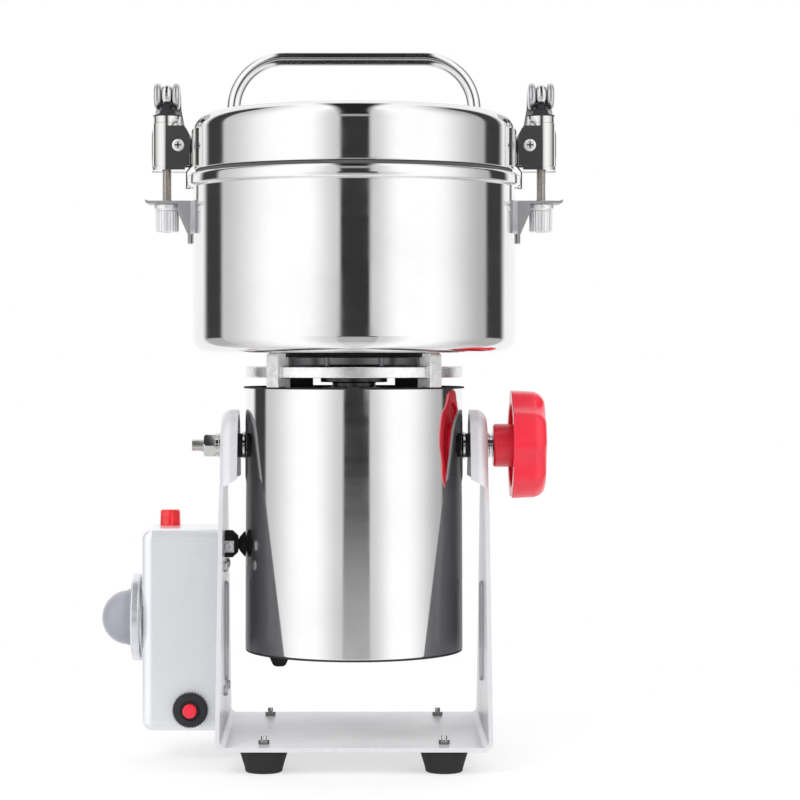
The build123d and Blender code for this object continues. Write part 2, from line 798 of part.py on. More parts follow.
def end_bell():
    """The aluminium ring over the motor with its legs into the shell and its posts to the bowl."""
    bell = disc(bell_radius, bell_low_z, bell_high_z)
    bell -= disc(housing_boss_radius + seat_gap, bell_low_z, bell_high_z)
    for start in (90, 270):
        bell -= arc_band(
            bell_window_inner, bell_window_outer, bell_low_z, bell_high_z,
            start - bell_window_angle / 2, bell_window_angle)
    post_foot = trim_high_z
    leg = bell_corner(leg_inner, post_inner, post_width, shell_high_z - 18, bell_high_z)
    pad = bell_corner(leg_inner, shell_inner - seat_gap - 0.2, post_width, shell_high_z - 18, shell_high_z - 4)
    post = bell_corner(post_inner - 0.5, post_outer, post_width, post_foot, bowl_low_z)
    post = fillet(post.edges().group_by(Axis.Z)[-1].sort_by(lambda e: e.center().X + e.center().Y)[-1], 2.5)
    for turn in (0, 90, 180, 270):
        bell += Rot(0, 0, turn) * (leg + pad + post)
    return bell


def bearing_housing():
    """The dark casting between the end bell and the bowl, seat of the upper bearing."""
    low = bell_low_z - 3
    housing = disc(housing_radius, bell_high_z, housing_top_z)
    housing = chamfer(housing.edges().group_by(Axis.Z)[0], 1.0)
    housing += disc(housing_boss_radius, low, bell_high_z)
    housing += disc(housing_hub_radius, low - 3, low)
    housing -= disc(shaft_radius + run_gap, 0, 300)
    housing -= disc(bearing_outer, upper_bearing_z, upper_bearing_z + bearing_width)
    for step in range(8):
        rib = block((housing_radius - 5, -1.2, bell_high_z), (housing_radius + 1.4, 1.2, housing_top_z))
        housing += Rot(0, 0, step * 45 + 22.5) * rib
    return housing


def shaft_seal():
    """The lip seal that keeps meal out of the bearing."""
    top = bowl_floor_z + seal_lip
    profile = [
        (shaft_radius + slide_gap, housing_top_z), (seal_radius, housing_top_z), (seal_radius, bowl_floor_z),
        (seal_radius - 3.5, top), (shaft_radius + slide_gap, top)]
    return turned(profile)


# ---------------------------------------------------------------- rotor
def shaft():
    """The motor shaft, from the lower bearing up into the bowl."""
    top = blade_seat_z + 2 * blade_thickness + blade_spacer + blade_nut_height + 3
    low = lower_bearing_z + 0.5
    return chamfer(disc(shaft_radius, low, top).edges(), 0.6)


def armature_core():
    """The slotted armature."""
    core = tube(armature_radius, shaft_radius, stator_low_z, stator_high_z)
    for step in range(slot_count):
        slot = Pos(slot_ring, 0, 0) * disc(slot_radius + seat_gap, stator_low_z, stator_high_z)
        mouth = block((slot_ring, -0.7, stator_low_z), (armature_radius + 1, 0.7, stator_high_z))
        core -= Rot(0, 0, step * 360 / slot_count) * (slot + mouth)
    return core


def armature_windings():
    """The copper windings: two end rings joined by the bars in the slots."""
    high = stator_high_z + winding_overhang
    low = stator_low_z - winding_overhang
    upper = tube(winding_outer, winding_inner, stator_high_z, high)
    upper = fillet(upper.edges().group_by(Axis.Z)[-1], 4)
    lower = tube(winding_outer, winding_inner, low, stator_low_z)
    lower = fillet(lower.edges().group_by(Axis.Z)[0], 4)
    winding = upper + lower
    for step in range(slot_count):
        bar = Pos(slot_ring, 0, 0) * disc(slot_radius, stator_low_z, stator_high_z)
        winding += Rot(0, 0, step * 360 / slot_count) * bar
    return winding


def commutator():
    """The commutator drum with its bars cut apart by grooves."""
    drum = tube(commutator_radius, shaft_radius, commutator_low_z, commutator_high_z)
    for step in range(commutator_bars):
        groove = block(
            (commutator_radius - 1.2, -0.3, commutator_low_z),
            (commutator_radius + 1, 0.3, commutator_high_z))
        drum -= Rot(0, 0, step * 360 / commutator_bars) * groove
    return drum


def cooling_fan():
    """The fan under the armature."""
    fan = tube(fan_hub_radius, shaft_radius, fan_low_z, fan_high_z)
    fan += tube(fan_radius, shaft_radius, fan_high_z - 2, fan_high_z)
    for step in range(fan_blades):
        blade = block((fan_hub_radius - 1, -0.8, fan_low_z), (fan_radius - 1, 0.8, fan_high_z - 1))
        fan += Rot(0, 0, step * 360 / fan_blades) * blade
    return fan


def blade(seat_z, rise):
    """A two-armed blade with cranked tips, bored for the shaft."""
    arm_end = blade_reach * 0.62
    low = Rectangle(2 * arm_end, blade_width)
    bar = Pos(0, 0, seat_z) * extrude(low, amount=blade_thickness)
    half = blade_thickness
    for turn in (0, 180):
        crank = Polyline(
            (arm_end - 2, seat_z), (blade_reach, seat_z + rise),
            (blade_reach, seat_z + rise + half), (arm_end - 2, seat_z + half), close=True)
        tip = extrude(Plane.XZ * make_face(crank), amount=blade_width / 2, both=True)
        bar += Rot(0, 0, turn) * tip
    tips = bar.edges().filter_by(Axis.Z)
    ends = tips.group_by(Axis.X)
    bar = fillet(ends[0] + ends[-1], 4.0)
    return bar - disc(shaft_radius, seat_z - 50, seat_z + 50)


def blade_spacers():
    """The collar under the lower blade and the spacer between the blades."""
    low = bowl_floor_z + seal_lip + run_gap
    collar = tube(blade_hub_radius, shaft_radius, low, blade_seat_z)
    middle = blade_seat_z + blade_thickness
    return [collar, tube(blade_hub_radius, shaft_radius, middle, middle + blade_spacer)]


def blade_nut():
    """The hexagonal nut on top of the blades."""
    low = blade_seat_z + 2 * blade_thickness + blade_spacer
    nut = Pos(0, 0, low) * extrude(RegularPolygon(blade_nut_radius, 6), amount=blade_nut_height)
    return nut - disc(shaft_radius, low, low + blade_nut_height)


# ---------------------------------------------------------------- bowl, lid and handle
def bowl():
    """The grinding bowl with its thickened rim and the hole for the shaft seal."""
    profile = [
        (seal_radius, bowl_low_z), (bowl_radius, bowl_low_z), (bowl_radius, rim_low_z),
        (rim_radius, rim_low_z), (rim_radius, bowl_rim_z), (bowl_inner, bowl_rim_z),
        (bowl_inner, bowl_floor_z), (seal_radius, bowl_floor_z)]
    inner_round = bowl_round - bowl_floor
    return turned(profile, [0, bowl_round, 0, 1.5, 1.5, 0, inner_round, 0])


def neck_gasket():
    """The rubber ring between the bearing housing and the bowl."""
    return tube(housing_radius, seal_radius, housing_top_z, bowl_low_z)


def lid_seal():
    """The silicone ring between rim and lid."""
    return tube(seal_ring_outer, seal_ring_inner, bowl_rim_z, lid_low_z)


def lid():
    """The deep pressed lid with a lip turned in over the seal."""
    top = lid_high_z
    wall = lid_wall
    profile = [
        (0, top), (lid_radius, top), (lid_radius, lid_low_z), (lid_lip_inner, lid_low_z),
        (lid_lip_inner, lid_low_z + wall), (lid_radius - wall, lid_low_z + wall),
        (lid_radius - wall, top - wall), (0, top - wall)]
    return turned(profile, [0, lid_round, 1.0, 0, 0, 0, lid_round - wall, 0])


def handle():
    """The round rod handle on the lid."""
    rod_z = handle_top_z - handle_rod
    lean = (handle_foot_x - handle_shoulder_x) / (rod_z - lid_high_z)
    sink = 2.0
    end_x = handle_foot_x + lean * sink
    path = FilletPolyline(
        (-end_x, 0, lid_high_z - sink), (-handle_shoulder_x, 0, rod_z),
        (handle_shoulder_x, 0, rod_z), (end_x, 0, lid_high_z - sink), radius=handle_bend)
    section = Plane(origin=path @ 0, z_dir=path % 0) * Circle(handle_rod)
    rod = sweep(section, path=path)
    room = 4 * handle_rod
    trim = block((-lid_radius, -room, lid_high_z - room), (lid_radius, room, lid_high_z))
    return rod - trim


# ---------------------------------------------------------------- tilt pivot
def pivot_studs():
    """The two threaded studs on which the motor tilts, flanged inside the shell."""
    seat = sqrt(shell_inner ** 2 - stud_flange_radius ** 2) - 0.05
    left = rod_x(stud_radius, -stud_left_end, -seat, z=tilt_z)
    left = chamfer(left.edges().group_by(Axis.X)[0], 0.8)
    right = rod_x(stud_radius, seat, wheel_outer_x - wheel_web - 4, z=tilt_z)
    flange = rod_x(stud_flange_radius, seat - stud_flange, seat, z=tilt_z)
    return [left + mirror(flange, about=Plane.YZ), right + flange]


def pivot_sleeves():
    """The dark sleeves between the motor shell and the arms."""
    start = shell_radius + washer
    sleeve = rod_x(sleeve_radius, start, arm_inner_x - seat_gap, z=tilt_z)
    sleeve -= rod_x(stud_radius, start, arm_inner_x, z=tilt_z)
    return both_sides(sleeve)


def pivot_washers():
    """The washers on the studs, inside and outside the arms."""
    def ring(radius, start, end):
        return rod_x(radius, start, end, z=tilt_z) - rod_x(stud_radius, start, end, z=tilt_z)
    inner = both_sides(ring(washer_radius, shell_radius, shell_radius + washer))
    outer_start = arm_outer_x + seat_gap
    flat = both_sides(ring(washer_radius - 0.4, outer_start, outer_start + 1.2))
    spring = ring(sleeve_radius, outer_start + 1.2, outer_start + 3.4)
    return inner + flat + both_sides(spring)


def pivot_nut():
    """The nut on the left stud."""
    start = -arm_outer_x - seat_gap - 3.4 - nut_height
    nut = Pos(0, 0, tilt_z) * hexagon(nut_across_corners, start, start + nut_height)
    cone = turned_x([
        (start, 0), (start, nut_across_corners * 0.46), (start + 0.9, nut_across_corners / 2),
        (start + nut_height - 0.9, nut_across_corners / 2), (start + nut_height, nut_across_corners * 0.46),
        (start + nut_height, 0)])
    nut &= Pos(0, 0, tilt_z) * cone
    return nut - rod_x(stud_radius, start, start + nut_height, z=tilt_z)


def hand_wheel():
    """The lobed hand wheel on the right stud, cupped towards the arm."""
    outline = Circle(wheel_radius)
    reach = wheel_radius - wheel_scallop_depth + wheel_scallop_radius
    for step in range(wheel_lobes):
        turn = radians(wheel_turn + step * 360 / wheel_lobes)
        outline -= Pos(-reach * cos(turn), reach * sin(turn)) * Circle(wheel_scallop_radius)
    outline = fillet(outline.vertices(), wheel_soften)
    wheel = Pos(wheel_skirt_x, 0, 0) * extrude(Plane.YZ * outline, amount=wheel_height, taper=3)
    wheel = fillet(wheel.faces().sort_by(Axis.X)[-1].edges(), wheel_round)
    inner_radius = wheel_radius - wheel_scallop_depth - wheel_wall
    floor_x = wheel_outer_x - wheel_web
    room = turned_x(
        [(wheel_skirt_x - 1, 0), (wheel_skirt_x - 1, inner_radius), (floor_x, inner_radius), (floor_x, 0)],
        [0, 0, 4.0, 0])
    wheel -= room
    hub = rod_x(wheel_hub_radius, wheel_face_x, floor_x + 1)
    wheel += fillet(hub.edges().group_by(Axis.X)[0], 1.5)
    wheel -= rod_x(stud_radius + slide_gap, wheel_face_x - 1, wheel_outer_x - wheel_web - 2)
    return Pos(0, 0, tilt_z) * wheel


# ---------------------------------------------------------------- lid latches, drawn for the right side
def lid_bracket():
    """The pad welded to the lid, with the ear that carries the hinge screw and the rim hook."""
    pad = arc_band(lid_radius, lid_radius + pad_thickness, pad_low_z, pad_high_z, -pad_angle, 2 * pad_angle)
    for side in (-1, 1):
        gap_y = side * block_half_y
        low = (lid_radius - 6, gap_y - 2.4, pad_low_z + 4)
        pad -= block(low, (lid_radius + 5, gap_y + 2.4, pad_high_z + 1))
    root = lid_radius + pad_thickness / 2
    ear = block((root, -ear_half_y, hinge_z - ear_radius), (hinge_x, ear_half_y, hinge_z + ear_radius))
    ear += rod_y(ear_radius, -ear_half_y, ear_half_y, hinge_x, hinge_z)
    ear -= rod_y(hinge_screw, -ear_half_y, ear_half_y, hinge_x, hinge_z)
    near = rim_radius + 0.15
    far = near + hook_reach
    hook = Polyline(
        (root, pad_low_z + 2.5), (root, pad_low_z + 1.2), (near, pad_low_z - 2.5), (near, hook_low_z + 0.6),
        (near - 2.2, hook_low_z + 0.6), (near - 2.2, hook_low_z), (far, hook_low_z),
        (far, pad_low_z - 2.5), (lid_radius + pad_thickness, pad_low_z + 2.5), close=True)
    strap = extrude(Plane.XZ * make_face(hook), amount=hook_half_y, both=True)
    return pad + ear + (strap - disc(lid_radius, hook_low_z - 5, pad_high_z))


def hinge_screw_set():
    """The screw through ear and block, with its nut."""
    head_y = block_half_y + seat_gap
    head = Pos(hinge_x, -head_y, hinge_z) * Rot(90, 0, 0) * phillips(hinge_head, hinge_head_height)
    screw = head + rod_y(hinge_screw, -head_y, head_y + 2.5, hinge_x, hinge_z)
    nut = rod_y(hinge_head, head_y, head_y + 2.0, hinge_x, hinge_z)
    return screw + nut


def latch_block():
    """The U-shaped swinging block with its foot, roof, washer and cup in one brazed piece."""
    def u_shape(grow, inner_x, low, high):
        half = block_half_y + grow
        solid = block((inner_x, -half, low), (latch_x, half, high))
        return solid + Pos(latch_x, 0, 0) * disc(half, low, high)
    body = u_shape(0, block_inner_x, block_low_z, block_high_z)
    corner_x = hinge_x - block_corner_back
    corner = Polyline(
        (block_inner_x - 1, block_corner_z), (block_inner_x, block_corner_z),
        (corner_x, block_high_z), (corner_x, block_high_z + 1),
        (block_inner_x - 1, block_high_z + 1), close=True)
    body -= extrude(Plane.XZ * make_face(corner), amount=2 * block_half_y, both=True)
    room_top = block_high_z - block_wall
    body -= u_shape(-block_wall, block_inner_x - 2, block_low_z, room_top)
    inside = block_half_y - block_wall
    body -= block(
        (block_inner_x - 1, -inside, room_top - 1), (hinge_x - block_roof_back, inside, block_high_z + 1))
    foot_top = block_foot_low_z + block_foot_height
    foot_inner_x = hinge_x - block_foot_back
    foot = u_shape(block_foot_proud, foot_inner_x, block_foot_low_z, foot_top)
    link = u_shape(-0.5, foot_inner_x + 0.5, foot_top, block_low_z + 0.5)
    body += foot + link
    body -= u_shape(-block_wall, hinge_x + ear_radius + 1.5, foot_top, room_top)
    body -= u_shape(-block_wall, block_inner_x - 2, foot_top, room_top)
    body += Pos(latch_x, 0, 0) * disc(cup_radius + 0.3, block_high_z, block_high_z + cup_flange_height)
    cup = disc(cup_radius, block_high_z + cup_flange_height, cup_high_z)
    body += Pos(latch_x, 0, 0) * chamfer(cup.edges().group_by(Axis.Z)[0], 0.3)
    body -= Pos(latch_x, 0, 0) * disc(latch_rod + slide_gap, block_foot_low_z, cup_high_z)
    body -= rod_y(hinge_screw + slide_gap, -2 * block_half_y, 2 * block_half_y, hinge_x, hinge_z)
    return body


def latch_dome():
    """The dark bell-shaped washer that the lever's cheeks press on."""
    waist = dome_neck + 0.16 * (dome_radius - dome_neck)
    profile = [
        (latch_rod + slide_gap, cup_high_z), (dome_radius, cup_high_z), (dome_radius, cup_high_z + 0.7),
        (waist, cup_high_z + 1.7), (dome_neck, dome_high_z), (latch_rod + slide_gap, dome_high_z)]
    return Pos(latch_x, 0, 0) * turned(profile, [0, 0.3, 0.3, 2.0, 0.3, 0])


def latch_rod_part():
    """The threaded pull rod with the eye for the lever's pin."""
    rod = disc(latch_rod, rod_low_z, eye_z - eye_radius / 2)
    rod = chamfer(rod.edges().group_by(Axis.Z)[0], 0.6)
    eye = rod_x(eye_radius, -eye_half_x, eye_half_x, z=eye_z)
    eye = fillet(eye.edges().filter_by(GeomType.CIRCLE), eye_round)
    rod = rod + eye - rod_x(pin_radius + slide_gap, -eye_half_x, eye_half_x, z=eye_z)
    return Pos(latch_x, 0, 0) * rod


def latch_lever():
    """The cam lever: two round cheeks joined by a tail that hangs down behind the block."""
    inner = eye_half_x + run_gap
    outer = inner + cheek
    disc_right = rod_x(cheek_radius, inner, outer, cheek_shift_y, eye_z + cheek_shift_z)
    disc_right = fillet(disc_right.edges().filter_by(GeomType.CIRCLE), cheek_round)
    half = lever_thickness / 2
    centre_line = FilletPolyline(
        (cheek_shift_y + 1, eye_z + 4.2), (lever_back_y - 5, eye_z + 2.0), (lever_back_y, cup_high_z),
        (lever_back_y, lever_tip_z + 8), (lever_back_y + 3.5, lever_tip_z), radius=5.0)
    tail_face = offset(centre_line, amount=half, side=Side.BOTH)
    tail = extrude(Plane.YZ * make_face(tail_face.edges()), amount=lever_tip_half_width, both=True)
    plan = Polyline(
        (-outer, eye_z + 20), (-outer, cup_high_z + 6), (-lever_tip_half_width, block_high_z - 4),
        (-lever_tip_half_width, lever_tip_z - 5), (lever_tip_half_width, lever_tip_z - 5),
        (lever_tip_half_width, block_high_z - 4), (outer, cup_high_z + 6), (outer, eye_z + 20), close=True)
    tail &= extrude(Plane.XZ * make_face(plan), amount=60, both=True)
    tail -= block((-inner, -30, eye_z - 20), (inner, eye_radius + run_gap + 0.4, eye_z + 20))
    lever = tail + disc_right + mirror(disc_right, about=Plane.YZ)
    lever -= rod_x(pin_radius, -outer, outer, z=eye_z)
    pin = rod_x(pin_radius, -outer, outer, z=eye_z)
    return [Pos(latch_x, 0, 0) * lever, Pos(latch_x, 0, 0) * pin]


def thumb_nut():
    """The knurled nut under the bowl's fork, with a smooth collar on top."""
    top = fork_low_z - seat_gap
    collar_z = top - thumb_collar_height
    nut = disc(thumb_radius, thumb_low_z, collar_z)
    nut = chamfer(nut.edges().group_by(Axis.Z)[0], 0.6)
    for step in range(knurl_count):
        groove = Pos(thumb_radius + 0.35, 0, 0) * disc(0.75, thumb_low_z, collar_z)
        nut -= Rot(0, 0, step * 360 / knurl_count) * groove
    flare_z = collar_z + thumb_collar_height * 0.4
    nut += turned([
        (0, collar_z), (thumb_radius, collar_z), (thumb_collar_radius, flare_z), (thumb_collar_radius, top), (0, top)],
        [0, 0, 1.5, 0.5, 0])
    nut -= disc(latch_rod + slide_gap, thumb_low_z, top)
    return Pos(latch_x, 0, 0) * nut


def bowl_bracket():
    """The fork welded to the bowl, which the pull rod drops into."""
    top = fork_low_z + fork_thickness
    leg_x = bowl_radius
    plate = block((leg_x, -fork_half_y, fork_low_z), (fork_tip_x, fork_half_y, top))
    lip = Polyline(
        (fork_tip_x - 0.5, fork_low_z), (fork_tip_x + 1.2, fork_low_z + 0.8), (fork_tip_x + 1.2, top + 0.9),
        (fork_tip_x - 0.5, top), close=True)
    plate += extrude(Plane.XZ * make_face(lip), amount=fork_half_y, both=True)
    plate -= block((latch_x, -fork_slot, fork_low_z - 5), (fork_tip_x + 5, fork_slot, top + 5))
    plate -= Pos(latch_x, 0, 0) * disc(fork_slot, fork_low_z - 5, top + 5)
    leg = block((leg_x, -fork_half_y, fork_leg_low_z), (leg_x + fork_leg, fork_half_y, top))
    far = leg_x + fork_leg + gusset_reach
    web = Polyline(
        (leg_x + fork_leg / 2, fork_low_z + 0.5), (far, fork_low_z + 0.5), (far, fork_low_z - 5),
        (leg_x + fork_leg, gusset_low_z), (leg_x + fork_leg / 2, gusset_low_z), close=True)
    for side in (-1, 1):
        edge = side * fork_half_y
        side_web = extrude(Plane.XZ * make_face(web), amount=gusset)
        low_y = min(edge, edge - side * gusset)
        leg += Pos(0, low_y + gusset, 0) * side_web
    pad = arc_band(
        bowl_radius, bowl_radius + 1.0, gusset_low_z, fork_low_z + 1, -fork_pad_angle, 2 * fork_pad_angle)
    return (plate + leg + pad) - disc(bowl_radius, bowl_low_z, bowl_rim_z)


# ---------------------------------------------------------------- write every node
def main():
    os.makedirs("parts", exist_ok=True)
    save("bracket", bracket())
    save("feet", *feet())
    save("foot_bolts", *foot_bolts())
    save("control_box", control_box())
    save("control_box_back", control_box_back())
    save("panel_screws", *panel_screws())
    save("timer_body", timer_body())
    save("dial_plate", dial_plate())
    save("timer_knob", timer_knob())
    save("pilot_lamp", pilot_lamp())
    save("overload_switch", overload_switch())
    save("overload_nut", overload_nut())
    save("reset_button", reset_button())
    save("inlet_bush", inlet_bush())
    save("arm_gland", arm_gland())
    save("motor_bushes", *motor_bushes())
    save("motor_cable", motor_cable())
    save("motor_shell", motor_shell())
    save("shell_trim", shell_trim())
    save("bottom_cap", bottom_cap())
    save("ball_bearings", *ball_bearings())
    save("stator_core", stator_core())
    save("field_coils", *field_coils())
    save("carbon_brushes", *carbon_brushes())
    save("brush_holders", *brush_holders())
    save("end_bell", end_bell())
    save("bearing_housing", bearing_housing())
    save("shaft_seal", shaft_seal())
    save("motor_shaft", shaft())
    save("armature_core", armature_core())
    save("armature_windings", armature_windings())
    save("commutator", commutator())
    save("cooling_fan", cooling_fan())
    save("lower_blade", blade(blade_seat_z, -blade_rise / 3))
    upper_z = blade_seat_z + blade_thickness + blade_spacer
    save("upper_blade", Rot(0, 0, 90) * blade(upper_z, blade_rise))
    save("blade_spacers", *blade_spacers())
    save("blade_nut", blade_nut())
    save("bowl", bowl())
    save("neck_gasket", neck_gasket())
    save("lid_seal", lid_seal())
    save("lid", lid())
    save("handle", handle())
    save("pivot_studs", *pivot_studs())
    save("pivot_sleeves", *pivot_sleeves())
    save("pivot_washers", *pivot_washers())
    save("pivot_nut", pivot_nut())
    save("hand_wheel", hand_wheel())
    save("lid_brackets", *both_sides(lid_bracket()))
    save("hinge_screws", *both_sides(hinge_screw_set()))
    save("bowl_brackets", *both_sides(bowl_bracket()))
    for name, solids in (
        ("latch_block", [latch_block()]),
        ("latch_dome", [latch_dome()]),
        ("latch_rod", [latch_rod_part()]),
        ("latch_lever", latch_lever()),
        ("thumb_nut", [thumb_nut()]),
    ):
        save(f"{name}_right", *solids)
        save(f"{name}_left", *[mirror(s, about=Plane.YZ) for s in solids])


if __name__ == "__main__":
    main()
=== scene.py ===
"""Finished looks for a tilting grain mill, laid out as an add-on and run as a script."""

import json
from math import atan2, cos, pi, radians, sin, tan

import bmesh
import bpy
from bpy.props import FloatProperty, FloatVectorProperty, IntProperty, PointerProperty
from mathutils import Matrix, Vector

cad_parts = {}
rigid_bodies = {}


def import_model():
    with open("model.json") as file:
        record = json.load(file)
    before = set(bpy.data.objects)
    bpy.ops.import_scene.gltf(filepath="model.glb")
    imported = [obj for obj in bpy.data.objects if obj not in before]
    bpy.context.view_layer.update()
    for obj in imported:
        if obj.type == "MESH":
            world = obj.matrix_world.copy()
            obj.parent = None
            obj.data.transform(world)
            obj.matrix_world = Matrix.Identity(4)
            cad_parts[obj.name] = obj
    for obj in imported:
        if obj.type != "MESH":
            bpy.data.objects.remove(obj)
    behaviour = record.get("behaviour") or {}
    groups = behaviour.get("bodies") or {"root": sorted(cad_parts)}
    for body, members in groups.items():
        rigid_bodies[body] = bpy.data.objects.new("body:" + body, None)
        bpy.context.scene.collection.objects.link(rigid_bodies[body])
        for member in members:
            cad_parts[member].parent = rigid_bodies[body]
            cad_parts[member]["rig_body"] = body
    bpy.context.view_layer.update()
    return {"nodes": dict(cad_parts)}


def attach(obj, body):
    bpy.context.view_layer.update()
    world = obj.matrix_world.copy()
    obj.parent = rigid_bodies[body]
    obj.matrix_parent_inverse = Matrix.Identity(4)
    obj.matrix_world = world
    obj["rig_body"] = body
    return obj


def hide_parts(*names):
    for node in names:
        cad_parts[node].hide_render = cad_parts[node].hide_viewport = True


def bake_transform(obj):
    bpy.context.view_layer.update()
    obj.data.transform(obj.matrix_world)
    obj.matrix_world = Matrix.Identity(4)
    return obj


bl_info = {
    "name": "Grain mill finish",
    "version": (1, 0, 0),
    "blender": (4, 5, 0),
    "location": "3D View > Sidebar > Grain mill",
    "description": "Builds the finished pieces and surfaces of a tilting grain mill",
    "category": "Object",
}

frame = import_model()
NODES = frame["nodes"]
MM = 0.001
TAU = 2 * pi
SIDES = (("right", 1), ("left", -1))


# ---------------------------------------------------------------- settings
def length(name, default, description):
    """A length in metres that shows in the panel."""
    return FloatProperty(name=name, description=description, default=default, unit="LENGTH", precision=5)


def amount(name, default, description, **limits):
    """A plain number that shows in the panel."""
    return FloatProperty(name=name, description=description, default=default, **limits)


def count(name, default, least, description):
    """A whole number that shows in the panel."""
    return IntProperty(name=name, description=description, default=default, min=least)


def colour(name, default, description):
    """A colour that shows in the panel."""
    return FloatVectorProperty(
        name=name, description=description, default=default, subtype="COLOR", size=3, min=0, max=1)


class GrainMillSizes(bpy.types.PropertyGroup):
    """Sizes of the fine detail that the finished pieces add."""
    vessel_steps: count("Vessel steps", 224, 48, "Steps round the bowl, lid and motor shell")
    edge_round: length("Edge round", 0.30 * MM, "Rounding on the edges of cut and bent metal")
    moulded_round: length("Moulded round", 0.5 * MM, "Rounding on the edges of moulded pieces")
    stud_pitch: length("Stud pitch", 1.25 * MM, "Thread pitch of the tilt studs")
    rod_pitch: length("Rod pitch", 1.0 * MM, "Thread pitch of the pull rods")
    knurls: count("Knurls", 24, 8, "Ridges round a thumb nut")
    dial_marks: count("Dial marks", 11, 2, "Marks round the timer dial")


class GrainMillColours(bpy.types.PropertyGroup):
    """Base colours of the finishes."""
    steel: colour("Polished steel", (0.84, 0.84, 0.84), "Bowl, lid, handle and motor shell")
    plating: colour("Plated steel", (0.78, 0.78, 0.785), "Latches, studs, washers and shafts")
    worn_plating: colour("Worn plating", (0.64, 0.63, 0.65), "The forks on the bowl and the cam levers")
    thread: colour("Thread steel", (0.60, 0.56, 0.53), "Threads of the pull rods")
    nut: colour("Nut steel", (0.88, 0.88, 0.89), "Thumb nuts and screws")
    blade: colour("Blade steel", (0.60, 0.61, 0.62), "The two blades")
    enamel: colour("Bracket enamel", (0.74, 0.735, 0.775), "The U-shaped bracket")
    box: colour("Box sheet", (0.84, 0.855, 0.89), "The control box")
    rubber: colour("Rubber", (0.018, 0.018, 0.019), "Feet, edging, bushes and cable")
    black: colour("Black plastic", (0.022, 0.022, 0.024), "Ring nut, cap, sleeves and cam washers")
    red: colour("Red plastic", (0.90, 0.018, 0.050), "Hand wheel and reset button")
    lens: colour("Red lens", (0.90, 0.030, 0.040), "The pilot lamp")
    knob: colour("Knob plastic", (0.25, 0.245, 0.29), "The timer knob")
    dial: colour("Dial plate", (0.78, 0.79, 0.83), "The plate behind the timer knob")
    casting: colour("Bright casting", (0.84, 0.845, 0.855), "The end bell")
    dark_casting: colour("Dark casting", (0.10, 0.10, 0.105), "The bearing housing")
    silicone: colour("Silicone", (0.10, 0.10, 0.10), "The lid seal and the shaft seal")
    iron: colour("Core sheets", (0.24, 0.24, 0.26), "Field core and armature")
    copper: colour("Enamelled copper", (0.62, 0.26, 0.12), "Coils, windings and commutator")
    carbon: colour("Carbon", (0.03, 0.03, 0.032), "The brushes")


class GrainMillStudio(bpy.types.PropertyGroup):
    """Camera and light."""
    camera_distance: length("Camera distance", 1.470, "From the motor's axis to the camera")
    camera_height: length("Camera height", 0.242, "Height of the level camera")
    lens: amount("Lens", 110.25, "Focal length in millimetres")
    shift_x: amount("Shift across", 0.0575, "Camera shift across the frame")
    shift_y: amount("Shift up", -0.06, "Camera shift up the frame")
    ambient: amount("Ambient", 0.92, "Plain light from all round", min=0)
    key_power: amount("Key power", 9.0, "Power of the front left lamp", min=0)
    fill_power: amount("Fill power", 4.0, "Power of the right lamp and of the one behind", min=0)
    floor_radius: length("Floor radius", 0.46, "Where the floor has faded out")


def sizes():
    return bpy.context.scene.grain_mill_sizes


def colours():
    return bpy.context.scene.grain_mill_colours


# ---------------------------------------------------------------- node helpers
def add_node(tree, kind, inputs=None, **settings):
    """A node with its settings, and with sockets that are set or linked."""
    node = tree.nodes.new(kind)
    for name, value in settings.items():
        setattr(node, name, value)
    for name, value in (inputs or {}).items():
        socket = node.inputs[name]
        if isinstance(value, bpy.types.NodeSocket):
            tree.links.new(value, socket)
        else:
            socket.default_value = value
    return node


def maths(tree, operation, *values):
    """The output of a Math node."""
    node = add_node(tree, "ShaderNodeMath", dict(enumerate(values)), operation=operation)
    return node.outputs[0]


def blended(tree, factor, first, second):
    """The colour between two colours."""
    node = tree.nodes.new("ShaderNodeMix")
    node.data_type = "RGBA"
    for socket, value in ((node.inputs[0], factor), (node.inputs[6], first), (node.inputs[7], second)):
        if isinstance(value, bpy.types.NodeSocket):
            tree.links.new(value, socket)
        elif socket == node.inputs[0]:
            socket.default_value = value
        else:
            socket.default_value = (*value[:3], 1.0)
    return node.outputs[2]


def ramp(tree, factor, stops, interpolation="LINEAR"):
    """The output of a colour ramp given as (position, grey) stops."""
    node = add_node(tree, "ShaderNodeValToRGB", {"Fac": factor})
    node.color_ramp.interpolation = interpolation
    while len(node.color_ramp.elements) < len(stops):
        node.color_ramp.elements.new(0.5)
    for element, (position, grey) in zip(node.color_ramp.elements, stops):
        element.position = position
        element.color = (grey, grey, grey, 1)
    return node.outputs["Color"]


def span(tree, value, low, high, out_low, out_high):
    """A value carried from one range to another, and held at its ends."""
    inputs = {"Value": value, "From Min": low, "From Max": high, "To Min": out_low, "To Max": out_high}
    return add_node(tree, "ShaderNodeMapRange", inputs, clamp=True).outputs["Result"]


def new_group(name, inputs, outputs):
    """An empty shader group with float inputs (name, default) and float outputs."""
    group = bpy.data.node_groups.new(name, "ShaderNodeTree")
    for label, default in inputs:
        socket = group.interface.new_socket(label, in_out="INPUT", socket_type="NodeSocketFloat")
        socket.default_value = default
    for label in outputs:
        group.interface.new_socket(label, in_out="OUTPUT", socket_type="NodeSocketFloat")
    return group, group.nodes.new("NodeGroupInput").outputs, group.nodes.new("NodeGroupOutput").inputs


def group_node(tree, name, **inputs):
    """A placed shader group."""
    node = tree.nodes.new("ShaderNodeGroup")
    node.node_tree = bpy.data.node_groups[name]
    for label, value in inputs.items():
        node.inputs[label.replace("_", " ")].default_value = value
    return node.outputs


